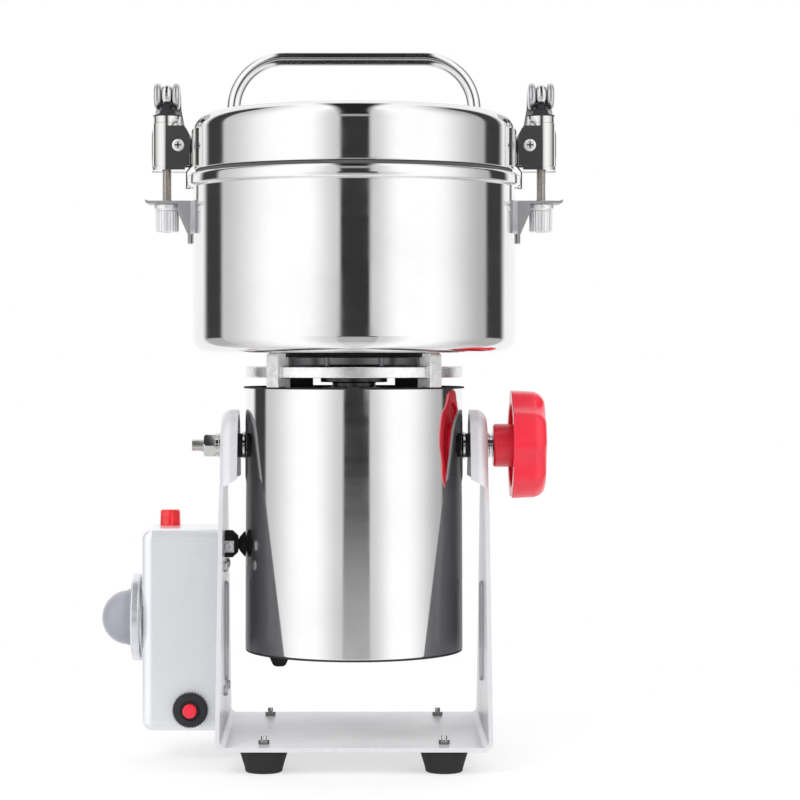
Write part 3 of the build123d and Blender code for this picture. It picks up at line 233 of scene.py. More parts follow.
def noise_value(tree, vector, scale, detail=3.0, roughness=0.5):
    """The grey of a noise texture."""
    inputs = {"Vector": vector, "Scale": scale, "Detail": detail, "Roughness": roughness}
    return add_node(tree, "ShaderNodeTexNoise", inputs).outputs["Fac"]


def object_point(tree):
    """Object coordinates, in metres."""
    return add_node(tree, "ShaderNodeTexCoord").outputs["Object"]


def axes_of(tree, vector):
    """The X, Y and Z of a vector."""
    return add_node(tree, "ShaderNodeSeparateXYZ", {"Vector": vector}).outputs


def radius_of(tree, axes):
    """The distance from the Z axis."""
    squares = [maths(tree, "MULTIPLY", axes[label], axes[label]) for label in ("X", "Y")]
    return maths(tree, "SQRT", maths(tree, "ADD", *squares))


def shade(base, factor, lift=0.0):
    """A darker or brighter tone of a colour."""
    return tuple(min(1.0, part * factor + lift) for part in base)


def build_groups():
    """The shared surface effects: handling marks, drawn lines, fine grain and edge wear."""
    group, given, out = new_group(
        "handling_marks", [("Scale", 30.0), ("Fine Scale", 400.0)], ["Mask", "Specks"])
    point = object_point(group)
    broad = noise_value(group, point, given["Scale"], 4.0, 0.6)
    specks = noise_value(group, point, given["Fine Scale"], 2.0, 0.5)
    group.links.new(span(group, broad, 0.38, 0.68, 0.0, 1.0), out["Mask"])
    group.links.new(span(group, specks, 0.62, 0.75, 0.0, 1.0), out["Specks"])

    group, given, out = new_group(
        "drawn_lines", [("Around", 3.0), ("Along", 2200.0)], ["Lines", "Bands"])
    axes = axes_of(group, object_point(group))
    angle = maths(group, "ARCTAN2", axes["Y"], axes["X"])
    across = maths(group, "MULTIPLY", angle, given["Around"])
    rise = maths(group, "ADD", axes["Z"], radius_of(group, axes))
    along = maths(group, "MULTIPLY", rise, given["Along"])
    place = add_node(group, "ShaderNodeCombineXYZ", {"X": across, "Y": along}).outputs["Vector"]
    lines = noise_value(group, place, 1.0, 3.0, 0.7)
    slow = add_node(
        group, "ShaderNodeCombineXYZ", {"X": across, "Y": maths(group, "MULTIPLY", along, 0.06)})
    bands = noise_value(group, slow.outputs["Vector"], 1.0, 1.0, 0.5)
    group.links.new(lines, out["Lines"])
    group.links.new(bands, out["Bands"])

    group, given, out = new_group("fine_grain", [("Scale", 1500.0), ("Detail", 2.0)], ["Height", "Mask"])
    point = object_point(group)
    height = add_node(
        group, "ShaderNodeTexNoise", {"Vector": point, "Scale": given["Scale"], "Detail": given["Detail"]})
    group.links.new(height.outputs["Fac"], out["Height"])
    group.links.new(span(group, height.outputs["Fac"], 0.4, 0.6, 0.0, 1.0), out["Mask"])

    group, given, out = new_group("edge_wear", [("Low", 0.515), ("High", 0.56)], ["Mask"])
    convex = add_node(group, "ShaderNodeNewGeometry").outputs["Pointiness"]
    worn = add_node(
        group, "ShaderNodeMapRange",
        {"Value": convex, "From Min": given["Low"], "From Max": given["High"]}, clamp=True)
    broken = span(group, noise_value(group, object_point(group), 260.0, 3.0), 0.35, 0.6, 0.0, 1.0)
    group.links.new(maths(group, "MULTIPLY", worn.outputs["Result"], broken), out["Mask"])


# ---------------------------------------------------------------- materials
def start_material(name, **fixed):
    """A new material's nodes and its shader, whose fixed values sit on its own sockets."""
    material = bpy.data.materials.new(name)
    material.use_nodes = True
    tree = material.node_tree
    shader = tree.nodes["Principled BSDF"]
    for label, value in fixed.items():
        shader.inputs[label.replace("_", " ")].default_value = value
    return tree, shader


def surface(tree, shader, tone, mask, low, high):
    """A tone over the surface, and a roughness that follows a mask from low to high."""
    tree.links.new(tone, shader.inputs["Base Color"])
    tree.links.new(span(tree, mask, 0.0, 1.0, low, high), shader.inputs["Roughness"])


def bump(tree, shader, height, strength, distance):
    """Fine relief into the shader's normal."""
    node = add_node(tree, "ShaderNodeBump", {"Height": height, "Strength": strength, "Distance": distance})
    tree.links.new(node.outputs["Normal"], shader.inputs["Normal"])


def polished_metal(name, base, low, high, around, along, line_depth):
    """Polished sheet with faint lines left by spinning or drawing."""
    tree, shader = start_material(name, Metallic=1.0)
    lines = group_node(tree, "drawn_lines", Around=around, Along=along)
    marks = group_node(tree, "handling_marks", Scale=22.0, Fine_Scale=520.0)
    mix = maths(tree, "ADD", maths(tree, "MULTIPLY", lines["Bands"], 0.55),
                maths(tree, "MULTIPLY", marks["Mask"], 0.45))
    tree.links.new(span(tree, mix, 0.2, 0.8, low, high), shader.inputs["Roughness"])
    tree.links.new(blended(tree, marks["Mask"], base, shade(base, 0.95)), shader.inputs["Base Color"])
    bump(tree, shader, lines["Lines"], 0.25, line_depth)


def plated_metal(name, base, low, high):
    """Bright plated hardware with handling marks and worn edges."""
    tree, shader = start_material(name, Metallic=1.0)
    marks = group_node(tree, "handling_marks", Scale=90.0, Fine_Scale=1400.0)
    wear = group_node(tree, "edge_wear")
    grain = group_node(tree, "fine_grain", Scale=2600.0)
    aged = blended(tree, marks["Mask"], base, shade(base, 0.96))
    surface(tree, shader, blended(tree, wear["Mask"], aged, shade(base, 1.05)), marks["Mask"], low, high)
    bump(tree, shader, grain["Height"], 0.03, 0.01 * MM)


def painted_sheet(name, base):
    """Glossy enamel with orange peel and edges rubbed brighter.

    Where the polished metal beside it mirrors it, its colour is painted near black, as painted shade for its
    shaded inner faces."""
    tree, shader = start_material(name, Metallic=0.15, Coat_Weight=0.15, Coat_Roughness=0.15)
    peel = group_node(tree, "fine_grain", Scale=700.0, Detail=1.0)
    marks = group_node(tree, "handling_marks", Scale=35.0, Fine_Scale=900.0)
    wear = group_node(tree, "edge_wear")
    dusty = blended(tree, marks["Mask"], base, shade(base, 0.97))
    speckled = blended(tree, maths(tree, "MULTIPLY", marks["Specks"], 0.15), dusty, shade(base, 0.8))
    rubbed = blended(tree, maths(tree, "MULTIPLY", wear["Mask"], 0.6), speckled, (0.8, 0.8, 0.8))
    # Painted shade: in reflections the enamel is drawn near black (0.05, 0.053, 0.06), standing in for the
    # shade on its inner faces.
    mirrored = maths(tree, "MULTIPLY", add_node(tree, "ShaderNodeLightPath").outputs["Is Glossy Ray"], 0.75)
    painted_shade_in_reflections = blended(tree, mirrored, rubbed, (0.05, 0.053, 0.06))
    surface(tree, shader, painted_shade_in_reflections, marks["Mask"], 0.30, 0.36)
    bump(tree, shader, peel["Height"], 0.2, 0.02 * MM)


def satin_sheet(name, base, metallic=0.9, low=0.24, high=0.40):
    """Satin sheet steel with a very fine grain and faint handling marks."""
    tree, shader = start_material(name, Metallic=metallic, Coat_Weight=0.15, Coat_Roughness=0.2)
    grain = group_node(tree, "fine_grain", Scale=2400.0)
    marks = group_node(tree, "handling_marks", Scale=26.0, Fine_Scale=700.0)
    wear = group_node(tree, "edge_wear")
    toned = blended(tree, marks["Mask"], base, shade(base, 0.97))
    rubbed = blended(tree, maths(tree, "MULTIPLY", wear["Mask"], 0.3), toned, (0.9, 0.92, 0.95))
    surface(tree, shader, rubbed, marks["Mask"], low, high)
    bump(tree, shader, grain["Height"], 0.05, 0.01 * MM)


def moulded(name, base, low, high, grain_scale, depth, **fixed):
    """Moulded plastic or rubber with a fine skin, dust in its grain and slight wear."""
    tree, shader = start_material(name, **fixed)
    skin = group_node(tree, "fine_grain", Scale=grain_scale)
    marks = group_node(tree, "handling_marks", Scale=70.0, Fine_Scale=1100.0)
    wear = group_node(tree, "edge_wear")
    toned = blended(tree, maths(tree, "MULTIPLY", marks["Mask"], 0.35), base, shade(base, 0.8))
    rubbed = blended(tree, maths(tree, "MULTIPLY", wear["Mask"], 0.4), toned, shade(base, 1.5, 0.02))
    surface(tree, shader, rubbed, marks["Mask"], low, high)
    bump(tree, shader, skin["Height"], 0.3, depth)


def cast_metal(name, base, metallic):
    """Cast metal with a pebbled skin and bright rubbed edges."""
    tree, shader = start_material(name, Metallic=metallic)
    coarse = group_node(tree, "fine_grain", Scale=900.0, Detail=4.0)
    marks = group_node(tree, "handling_marks", Scale=90.0, Fine_Scale=800.0)
    wear = group_node(tree, "edge_wear")
    toned = blended(tree, coarse["Mask"], shade(base, 0.95), base)
    surface(tree, shader, blended(tree, wear["Mask"], toned, shade(base, 1.25)), marks["Mask"], 0.24, 0.34)
    bump(tree, shader, coarse["Height"], 0.05, 0.02 * MM)


def layered(name, base, spacing, depth, metallic, along_z=True):
    """Stacked sheets or wound wire: fine ridges one after another."""
    tree, shader = start_material(name, Metallic=metallic)
    axes = axes_of(tree, object_point(tree))
    place = axes["Z"] if along_z else radius_of(tree, axes)
    wave = maths(tree, "SINE", maths(tree, "MULTIPLY", place, TAU / spacing))
    ridge = span(tree, wave, -1.0, 1.0, 0.0, 1.0)
    marks = group_node(tree, "handling_marks", Scale=120.0, Fine_Scale=900.0)
    toned = blended(tree, ridge, shade(base, 0.45), base)
    stained = blended(tree, maths(tree, "MULTIPLY", marks["Mask"], 0.3), toned, shade(base, 0.7))
    surface(tree, shader, stained, marks["Mask"], 0.25, 0.5)
    bump(tree, shader, ridge, 0.6, depth)


def red_lens(name, base):
    """Clear red acrylic, lit a little from inside, with faint moulding marks."""
    tree, shader = start_material(
        name, Transmission_Weight=0.25, IOR=1.49, Coat_Weight=0.4, Emission_Strength=0.25)
    marks = group_node(tree, "handling_marks", Scale=220.0, Fine_Scale=1500.0)
    toned = blended(tree, marks["Mask"], base, shade(base, 0.6))
    surface(tree, shader, toned, marks["Mask"], 0.08, 0.2)
    tree.links.new(toned, shader.inputs["Emission Color"])
    bump(tree, shader, group_node(tree, "fine_grain", Scale=1800.0)["Height"], 0.1, 0.02 * MM)


def build_materials():
    """Every finish."""
    c = colours()
    polished_metal("vessel_steel", c.steel, 0.05, 0.12, 1.5, 2600.0, 0.004 * MM)
    polished_metal("rod_steel", c.steel, 0.08, 0.16, 400.0, 60.0, 0.004 * MM)
    plated_metal("plated_steel", c.plating, 0.14, 0.20)
    plated_metal("thread_steel", c.thread, 0.2, 0.34)
    satin_sheet("blade_steel", c.blade)
    painted_sheet("bracket_enamel", c.enamel)
    satin_sheet("box_sheet", c.box, 0.4, 0.24, 0.29)
    satin_sheet("bracket_steel", c.worn_plating, 0.9, 0.28, 0.34)
    plated_metal("cam_steel", c.worn_plating, 0.26, 0.32)
    satin_sheet("nut_steel", c.nut, 0.6, 0.28, 0.34)
    moulded("black_rubber", c.rubber, 0.42, 0.62, 1600.0, 0.05 * MM)
    moulded("black_plastic", c.black, 0.28, 0.42, 2200.0, 0.03 * MM)
    moulded(
        "wheel_plastic", c.red, 0.22, 0.32, 1200.0, 0.012 * MM, Coat_Weight=0.2, Coat_Roughness=0.08)
    moulded(
        "knob_plastic", c.knob, 0.25, 0.38, 1500.0, 0.015 * MM, Coat_Weight=0.25, Coat_Roughness=0.2)
    moulded("dial_plate", c.dial, 0.2, 0.3, 1500.0, 0.01 * MM, Metallic=0.7)
    moulded("dial_print", c.black, 0.35, 0.5, 1500.0, 0.01 * MM)
    red_lens("lamp_lens", c.lens)
    cast_metal("bright_casting", c.casting, 0.9)
    cast_metal("dark_casting", c.dark_casting, 0.6)
    moulded("silicone", c.silicone, 0.4, 0.6, 1400.0, 0.03 * MM)
    layered("core_sheets", c.iron, 0.7 * MM, 0.1 * MM, 0.8)
    layered("copper_wire", c.copper, 0.9 * MM, 0.2 * MM, 0.9, along_z=False)
    plated_metal("commutator_copper", c.copper, 0.2, 0.35)
    moulded("carbon", c.carbon, 0.5, 0.7, 1800.0, 0.05 * MM)


# ---------------------------------------------------------------- mesh helpers
def finish_piece(name, bm, material, body, replaced=(), sharp=32.0, recalc=True):
    """Makes a bmesh a shaded piece that rides on a body, if one is given, and stands for its nodes."""
    bmesh.ops.remove_doubles(bm, verts=bm.verts, dist=1e-7)
    if recalc:
        bmesh.ops.recalc_face_normals(bm, faces=bm.faces)
    mesh = bpy.data.meshes.new(name)
    bm.to_mesh(mesh)
    bm.free()
    mesh.shade_smooth()
    mesh.set_sharp_from_angle(angle=radians(sharp))
    piece = bpy.data.objects.new(name, mesh)
    bpy.context.scene.collection.objects.link(piece)
    mesh.materials.append(bpy.data.materials[material])
    if body:
        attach(piece, body)
    if replaced:
        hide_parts(*replaced)
    return piece


def soften(piece, width, segments, angle):
    """A small rounding on the sharp edges of a finished piece."""
    rounding = piece.modifiers.new("edge round", "BEVEL")
    rounding.width = width
    rounding.segments = segments
    rounding.limit_method = "ANGLE"
    rounding.angle_limit = radians(angle)
    rounding.harden_normals = False
    rounding.miter_outer = "MITER_ARC"
    normals = piece.modifiers.new("even shading", "WEIGHTED_NORMAL")
    normals.keep_sharp = True


def everything(bm):
    """The vertices, edges and faces of a bmesh."""
    return bm.verts[:] + bm.edges[:] + bm.faces[:]


def of_kind(kind, parts):
    """Those of an operator's results that are vertices, edges or faces."""
    return [part for part in parts if isinstance(part, kind)]


def placed(bm, axis=(0, 0, 1), centre=(0, 0, 0)):
    """A bmesh drawn along Z, turned to an axis and moved, in millimetres."""
    turn = Vector((0, 0, 1)).rotation_difference(Vector(axis)).to_matrix()
    bmesh.ops.rotate(bm, verts=bm.verts, cent=(0, 0, 0), matrix=turn)
    bmesh.ops.translate(bm, verts=bm.verts, vec=Vector(centre) * MM)
    return bm


def outline_bmesh(corners, closed=True):
    """A rounded outline in the XZ plane from (radius, height, rounding) corners in millimetres.

    Long runs get a point near each end, which keeps their shading flat."""
    bm = bmesh.new()
    verts = [bm.verts.new((r * MM, 0, z * MM)) for r, z, *_ in corners]
    pairs = list(zip(verts, verts[1:])) + ([(verts[-1], verts[0])] if closed else [])
    for first, second in pairs:
        bm.edges.new((first, second))
    for vert, corner in zip(verts, corners):
        rounding = corner[2] if len(corner) > 2 else 0
        if not rounding:
            continue
        away = [(edge.other_vert(vert).co - vert.co).normalized() for edge in vert.link_edges]
        half = away[0].angle(away[1]) / 2
        steps = max(3, min(10, int(rounding * 1.5) + 3))
        bmesh.ops.bevel(
            bm, geom=[vert], offset=rounding * MM / tan(half), offset_type="OFFSET", affect="VERTICES",
            segments=steps, profile=0.5, material=-1, clamp_overlap=False)
    reach = 0.4 * MM
    for edge in [edge for edge in bm.edges if edge.calc_length() > 10 * reach]:
        first, last = edge.verts
        middle = bmesh.utils.edge_split(edge, first, reach / edge.calc_length())[1]
        rest = max(middle.link_edges, key=lambda part: part.calc_length())
        bmesh.utils.edge_split(rest, last, reach / rest.calc_length())
    return bm


def spun(corners, steps, closed=True, axis=(0, 0, 1), centre=(0, 0, 0)):
    """A closed solid of revolution about Z from rounded corners, moved to its centre and axis."""
    bm = outline_bmesh(corners, closed)
    bmesh.ops.spin(
        bm, geom=bm.verts[:] + bm.edges[:], cent=(0, 0, 0), axis=(0, 0, 1), angle=TAU, steps=steps,
        use_merge=True)
    bmesh.ops.remove_doubles(bm, verts=bm.verts, dist=1e-6)
    return placed(bm, axis, centre)


def joined(*parts):
    """One bmesh with the faces of several."""
    whole = bmesh.new()
    for part in parts:
        mesh = bpy.data.meshes.new("part")
        bmesh.ops.recalc_face_normals(part, faces=part.faces)
        part.to_mesh(mesh)
        part.free()
        whole.from_mesh(mesh)
        bpy.data.meshes.remove(mesh)
    return whole


def mirrored_copy(bm, side):
    """The bmesh as it is for the right side, and mirrored across X for the left."""
    if side < 0:
        bmesh.ops.scale(bm, vec=(-1, 1, 1), verts=bm.verts)
        bmesh.ops.reverse_faces(bm, faces=bm.faces)
    return bm


def threaded(major, minor, pitch, low, high):
    """A screw thread along Z with closed ends, in millimetres."""
    steps = 20
    bm = bmesh.new()
    start = low - pitch
    turns = int((high - low) / pitch) + 3
    flank = [(minor, 0.0), (minor, 0.12), (major, 0.44), (major, 0.56), (minor, 0.88), (minor, 1.0)]
    verts = [bm.verts.new((r * MM, 0, (start + part * pitch) * MM)) for r, part in flank]
    for first, second in zip(verts, verts[1:]):
        bm.edges.new((first, second))
    bmesh.ops.spin(
        bm, geom=bm.verts[:] + bm.edges[:], cent=(0, 0, 0), axis=(0, 0, 1),
        dvec=(0, 0, pitch * MM / steps), angle=TAU * turns, steps=steps * turns, use_merge=False)
    bmesh.ops.remove_doubles(bm, verts=bm.verts, dist=2e-6)
    for height, keep_above in ((low, True), (high, False)):
        bmesh.ops.bisect_plane(
            bm, geom=everything(bm), dist=1e-7, plane_co=(0, 0, height * MM),
            plane_no=(0, 0, 1), clear_inner=keep_above, clear_outer=not keep_above)
    rims = [edge for edge in bm.edges if edge.is_boundary]
    bmesh.ops.holes_fill(bm, edges=rims, sides=0)
    bmesh.ops.recalc_face_normals(bm, faces=bm.faces)
    return bm


def ridged(radius, depth, count, low, high, chamfer, bore):
    """A drum along Z with fine upright ridges, chamfered ends and a bore."""
    bm = bmesh.new()
    bmesh.ops.create_circle(bm, cap_ends=False, radius=radius * MM, segments=count * 4)
    for vert in bm.verts:
        step = round(atan2(vert.co.y, vert.co.x) / TAU * count * 4) % 4
        if step in (2, 3):
            vert.co *= 1 - depth / radius
    end_radius = radius - chamfer
    rings = [(low, end_radius), (low + chamfer, radius), (high - chamfer, radius), (high, end_radius)]
    bmesh.ops.translate(bm, verts=bm.verts, vec=(0, 0, low * MM))
    edges = bm.edges[:]
    bmesh.ops.scale(bm, vec=(end_radius / radius, end_radius / radius, 1), verts=bm.verts)
    for (z, r), (next_z, next_r) in zip(rings, rings[1:]):
        made = bmesh.ops.extrude_edge_only(bm, edges=edges)["geom"]
        verts = of_kind(bmesh.types.BMVert, made)
        edges = of_kind(bmesh.types.BMEdge, made)
        bmesh.ops.translate(bm, verts=verts, vec=(0, 0, (next_z - z) * MM))
        bmesh.ops.scale(bm, vec=(next_r / r, next_r / r, 1), verts=verts)
    bottom = [e for e in bm.edges if e.is_boundary and abs(e.verts[0].co.z - low * MM) < 1e-6]
    for rim in (bottom, edges):
        made = bmesh.ops.extrude_edge_only(bm, edges=rim)["geom"]
        for vert in of_kind(bmesh.types.BMVert, made):
            flat = Vector((vert.co.x, vert.co.y, 0)).normalized() * bore * MM
            vert.co.x, vert.co.y = flat.x, flat.y
    inner = [e for e in bm.edges if e.is_boundary]
    bmesh.ops.bridge_loops(bm, edges=inner)
    return bm


def flat_bar(size, centre):
    """A small square-edged bar of a size about its centre, in millimetres."""
    bar = bmesh.new()
    bmesh.ops.create_cube(bar, size=MM)
    bmesh.ops.scale(bar, vec=size, verts=bar.verts)
    return placed(bar, centre=centre)


def painted_shade_cross(arm, width, depth, centre):
    """A black cross of painted shade at the floor of a cross recess in a screw head that faces the front, in
    millimetres.
    """
    return joined(flat_bar((2 * arm, depth, width), centre), flat_bar((width, depth, 2 * arm), centre))


def refined(node, name, material, width, segments=2):
    """A merged and softened copy of a node, which it stands for.

    Its slot has the material's name."""
    source = NODES[node]
    angle = 35.0
    bm = bmesh.new()
    bm.from_mesh(source.data)
    bmesh.ops.remove_doubles(bm, verts=bm.verts, dist=2e-6)
    bmesh.ops.dissolve_limit(
        bm, angle_limit=radians(0.6), use_dissolve_boundaries=False, verts=bm.verts, edges=bm.edges,
        delimit={"NORMAL"})
    piece = finish_piece(
        name, bm, material, source["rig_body"], (node,), sharp=angle, recalc=False)
    soften(piece, width, segments, angle)


def paint_node(node, material):
    """A better finish on a node that keeps its CAD shape."""
    mesh = NODES[node].data
    mesh.materials.clear()
    mesh.materials.append(bpy.data.materials[material])


# ---------------------------------------------------------------- pieces
# Places of the parts that are made anew, in millimetres from the bench under the motor's axis.
TILT_HEIGHT = 186.0
FOOT_X, FOOT_Y = 52.0, 56.0
SWITCH_CENTRE = (-96.6, -23.5, 30.8)
LEAD_CENTRE = (-102.0, 0, 36.0)
DIAL_FACE, DIAL_HEIGHT = -132.3, 82.9
HINGE_X, HINGE_HEAD_Y, HINGE_HEIGHT = 104.9, -9.85, 365.4
ROD_X, EYE_HEIGHT = 112.2, 395.9
CABLE_START, CABLE_LENGTH, CABLE_HEIGHT = -87.5, 28.5, 127.0


class GrainMillOperator(bpy.types.Operator):
    """Shared settings of the piece operators."""
    bl_idname = "grain_mill.base"
    bl_label = "Grain mill piece"
    bl_options = {"REGISTER", "UNDO"}

    def execute(self, context):
        self.make()
        return {"FINISHED"}

    def make(self):
        raise NotImplementedError


class GRAINMILL_OT_finishes(GrainMillOperator):
    """Builds the shader groups and every material"""
    bl_idname = "grain_mill.finishes"
    bl_label = "Finishes"

    def make(self):
        build_groups()
        build_materials()


class GRAINMILL_OT_vessels(GrainMillOperator):
    """Spins the bowl with its thick rim, the deep lid and the motor shell"""
    bl_idname = "grain_mill.vessels"
    bl_label = "Bowl, lid and shell"

    def make(self):
        steps = sizes().vessel_steps

        def polished(name, bm, node):
            finish_piece(name, bm, "vessel_steel", "mill", (node,))

        bowl = spun([
            (14.0, 241.6), (97.0, 241.6, 9.0), (97.0, 340.3, 0.6), (99.6, 340.3, 1.8), (99.6, 347.9, 2.0),
            (95.8, 347.9, 0.8), (95.8, 243.1, 7.5), (14.0, 243.1)], steps)
        polished("bowl_body", bowl, "bowl")
        lid = spun([
            (0.0, 384.0), (96.0, 384.0, 9.5), (96.0, 350.0, 0.8), (90.0, 350.0), (90.0, 351.2),
            (94.8, 351.2), (94.8, 382.8, 8.3), (0.0, 382.8)], steps, closed=False)
        polished("lid_body", lid, "lid")
        shell = spun([
            (64.0, 65.0, 0.3), (65.2, 65.0, 0.4), (65.2, 220.9, 0.4), (64.0, 220.9, 0.3)], steps)
        polished("shell_tube", shell, "motor_shell")
        seal = spun([
            (89.0, 347.9, 0.4), (95.0, 347.9, 0.4), (95.0, 350.0, 0.4), (89.0, 350.0, 0.4)], steps)
        finish_piece("lid_seal_ring", seal, "silicone", "mill", ("lid_seal",))
        trim = spun([
            (63.1, 220.4, 0.2), (64.0, 220.4), (64.0, 220.9), (65.2, 220.9), (65.2, 220.4),
            (66.1, 220.4, 0.2), (66.1, 221.4, 0.35), (63.1, 221.4, 0.35)], steps)
        finish_piece("shell_edging", trim, "black_rubber", "mill", ("shell_trim",))


class GRAINMILL_OT_handle(GrainMillOperator):
    """Bends the round rod handle and lays a weld ring at each foot"""
    bl_idname = "grain_mill.handle"
    bl_label = "Handle"

    def make(self):
        radius, foot_x, shoulder_x, top, foot_z, bend = 4.2, 72.4, 69.8, 417.7, 384.0, 30.0
        lean = atan2(foot_x - shoulder_x, top - foot_z)
        turn = pi / 2 - lean
        reach = bend * tan(turn / 2)
        bm = bmesh.new()
        bmesh.ops.create_circle(bm, cap_ends=True, radius=radius * MM, segments=28)
        start = Vector((-foot_x - 2 * tan(lean), 0, foot_z - 2))
        corner = Vector((-shoulder_x, 0, top))
        up = (corner - start).normalized()
        placed(bm, up, start)
        end = bm.faces[:]

        def pull(geom, offset):
            made = bmesh.ops.extrude_face_region(bm, geom=geom)["geom"]
            bmesh.ops.translate(bm, verts=of_kind(bmesh.types.BMVert, made), vec=offset * MM)
            bmesh.ops.delete(bm, geom=geom, context="FACES_ONLY")
            return of_kind(bmesh.types.BMFace, made)

        def swing(geom, centre, angle):
            made = bmesh.ops.spin(
                bm, geom=geom, cent=centre * MM, axis=(0, 1, 0), angle=angle, steps=16, use_merge=False)
            bmesh.ops.delete(bm, geom=geom, context="FACES_ONLY")
            return of_kind(bmesh.types.BMFace, made["geom_last"])

        leg = (corner - start).length - reach
        end = pull(end, up * leg)
        centre = corner - up * reach + Vector((up.z, 0, -up.x)) * bend
        end = swing(end, centre, turn)
        end = pull(end, Vector((2 * (shoulder_x - reach), 0, 0)))
        end = swing(end, Vector((-centre.x, 0, centre.z)), turn)
        pull(end, Vector((up.x, 0, -up.z)) * leg)
        bmesh.ops.remove_doubles(bm, verts=bm.verts, dist=1e-6)
        bmesh.ops.bisect_plane(
            bm, geom=everything(bm), dist=1e-7, plane_co=(0, 0, foot_z * MM),
            plane_no=(0, 0, 1), clear_inner=True)
        bmesh.ops.holes_fill(bm, edges=[e for e in bm.edges if e.is_boundary], sides=0)
        finish_piece("handle_rod", bm, "rod_steel", "mill", ("handle",))
        welds = []
        for x in (-foot_x, foot_x):
            welds.append(spun([
                (3.8, 383.95), (5.4, 383.95, 0.2), (4.9, 384.7, 0.4), (4.1, 385.1, 0.3), (3.8, 385.0)], 40,
                centre=(x, 0, 0)))
        finish_piece("handle_welds", joined(*welds), "plated_steel", "mill")


class GRAINMILL_OT_bracket(GrainMillOperator):
    """Finishes the U-shaped bracket, its feet and their nuts"""
    bl_idname = "grain_mill.bracket"
    bl_label = "Bracket and feet"

    def make(self):
        fine = sizes().edge_round
        refined("bracket", "bracket_sheet", "bracket_enamel", fine * 1.3)
        refined("foot_bolts", "foot_nuts", "plated_steel", fine * 0.5)
        feet = []
        for x in (-FOOT_X, FOOT_X):
            for y in (-FOOT_Y, FOOT_Y):
                feet.append(spun([
                    (1.75, 4.4), (4.6, 4.4), (4.6, 0.0, 0.5), (10.5, 0.0, 1.0), (11.2, 3.0, 0.5),
                    (14.0, 12.2, 0.8), (13.6, 13.3, 0.5), (1.75, 13.3)], 48, centre=(x, y, 0)))
        finish_piece("rubber_feet", joined(*feet), "black_rubber", "base", ("feet",))


class GRAINMILL_OT_box(GrainMillOperator):
    """Finishes the control box with its lamp, switch, screws and lead bush"""
    bl_idname = "grain_mill.box"
    bl_label = "Control box"

    def make(self):
        fine = sizes().edge_round
        soft = sizes().moulded_round
        refined("control_box", "box_shell", "box_sheet", fine)
        refined("control_box_back", "box_back", "box_sheet", fine)
        refined("panel_screws", "box_screws", "nut_steel", fine * 0.5)
        refined("timer_body", "timer_case", "black_plastic", soft)
        refined("overload_switch", "switch_case", "black_plastic", soft * 0.6)
        refined("reset_button", "button_cap", "wheel_plastic", fine)
        refined("pilot_lamp", "lamp_cap", "lamp_lens", fine * 0.6)
        ring = ridged(10.4, 0.75, 40, 0.0, 4.8, 0.35, 5.9)
        placed(ring, (0, -1, 0), SWITCH_CENTRE)
        finish_piece("switch_ring", ring, "black_plastic", "base", ("overload_nut",))
        bush = spun([
            (3.5, 18.0), (5.9, 18.0), (5.9, 23.5), (8.0, 23.5, 0.6), (8.0, 26.0, 0.8), (6.2, 26.0, 0.2),
            (6.0, 27.4, 0.2), (5.4, 27.6, 0.2), (5.4, 28.4, 0.2), (5.8, 28.6, 0.2), (5.6, 30.0, 0.2),
            (5.0, 30.2, 0.2), (5.0, 31.0, 0.2), (5.4, 31.2, 0.2), (5.2, 32.6, 0.2), (4.9, 34.5, 0.5),
            (3.5, 34.5, 0.3)], 48, axis=(0, 1, 0), centre=LEAD_CENTRE)
        finish_piece("lead_bush", bush, "black_rubber", "base", ("inlet_bush",))


class GRAINMILL_OT_timer(GrainMillOperator):
    """Makes the domed timer knob and the dial with its marks and numbers"""
    bl_idname = "grain_mill.timer"
    bl_label = "Timer knob and dial"

    def make(self):
        refined("timer_knob", "timer_grip", "knob_plastic", sizes().edge_round)
        refined("dial_plate", "timer_plate", "dial_plate", sizes().edge_round)
        marks = []
        mark_radius, start, sweep = 18.9, -60, 300
        last = sizes().dial_marks - 1
        for step in range(last + 1):
            turn = radians(start - step * sweep / last)
            long_mark = step % 2 == 0
            bar = flat_bar((0.3, 0.5, 3.0 if long_mark else 1.8), (DIAL_FACE, 0, mark_radius))
            bmesh.ops.rotate(
                bar, verts=bar.verts, cent=(0, 0, 0), matrix=Matrix.Rotation(turn, 3, "X"))
            marks.append(bar)
            if long_mark:
                marks.append(self.number(str(step // 2), turn))
        dial = placed(joined(*marks), centre=(0, 0, DIAL_HEIGHT))
        finish_piece("dial_marks", dial, "dial_print", "base")

    def number(self, text, turn):
        """A thin raised number beside its mark, read from the left."""
        number_radius, sunk = 22.8, 0.05
        curve = bpy.data.curves.new("number", "FONT")
        curve.body = text
        curve.size = 3.6 * MM
        curve.extrude = 0.08 * MM
        curve.align_x = "CENTER"
        curve.align_y = "CENTER"
        letter = bpy.data.objects.new("number", curve)
        bpy.context.scene.collection.objects.link(letter)
        mesh = bpy.data.meshes.new_from_object(letter)
        bm = bmesh.new()
        bm.from_mesh(mesh)
        bpy.data.objects.remove(letter)
        bpy.data.curves.remove(curve)
        bpy.data.meshes.remove(mesh)
        facing = Matrix(((0, 0, -1), (-1, 0, 0), (0, 1, 0)))
        bmesh.ops.rotate(bm, verts=bm.verts, cent=(0, 0, 0), matrix=facing)
        place = (DIAL_FACE - sunk, -sin(turn) * number_radius, cos(turn) * number_radius)
        return placed(bm, centre=place)


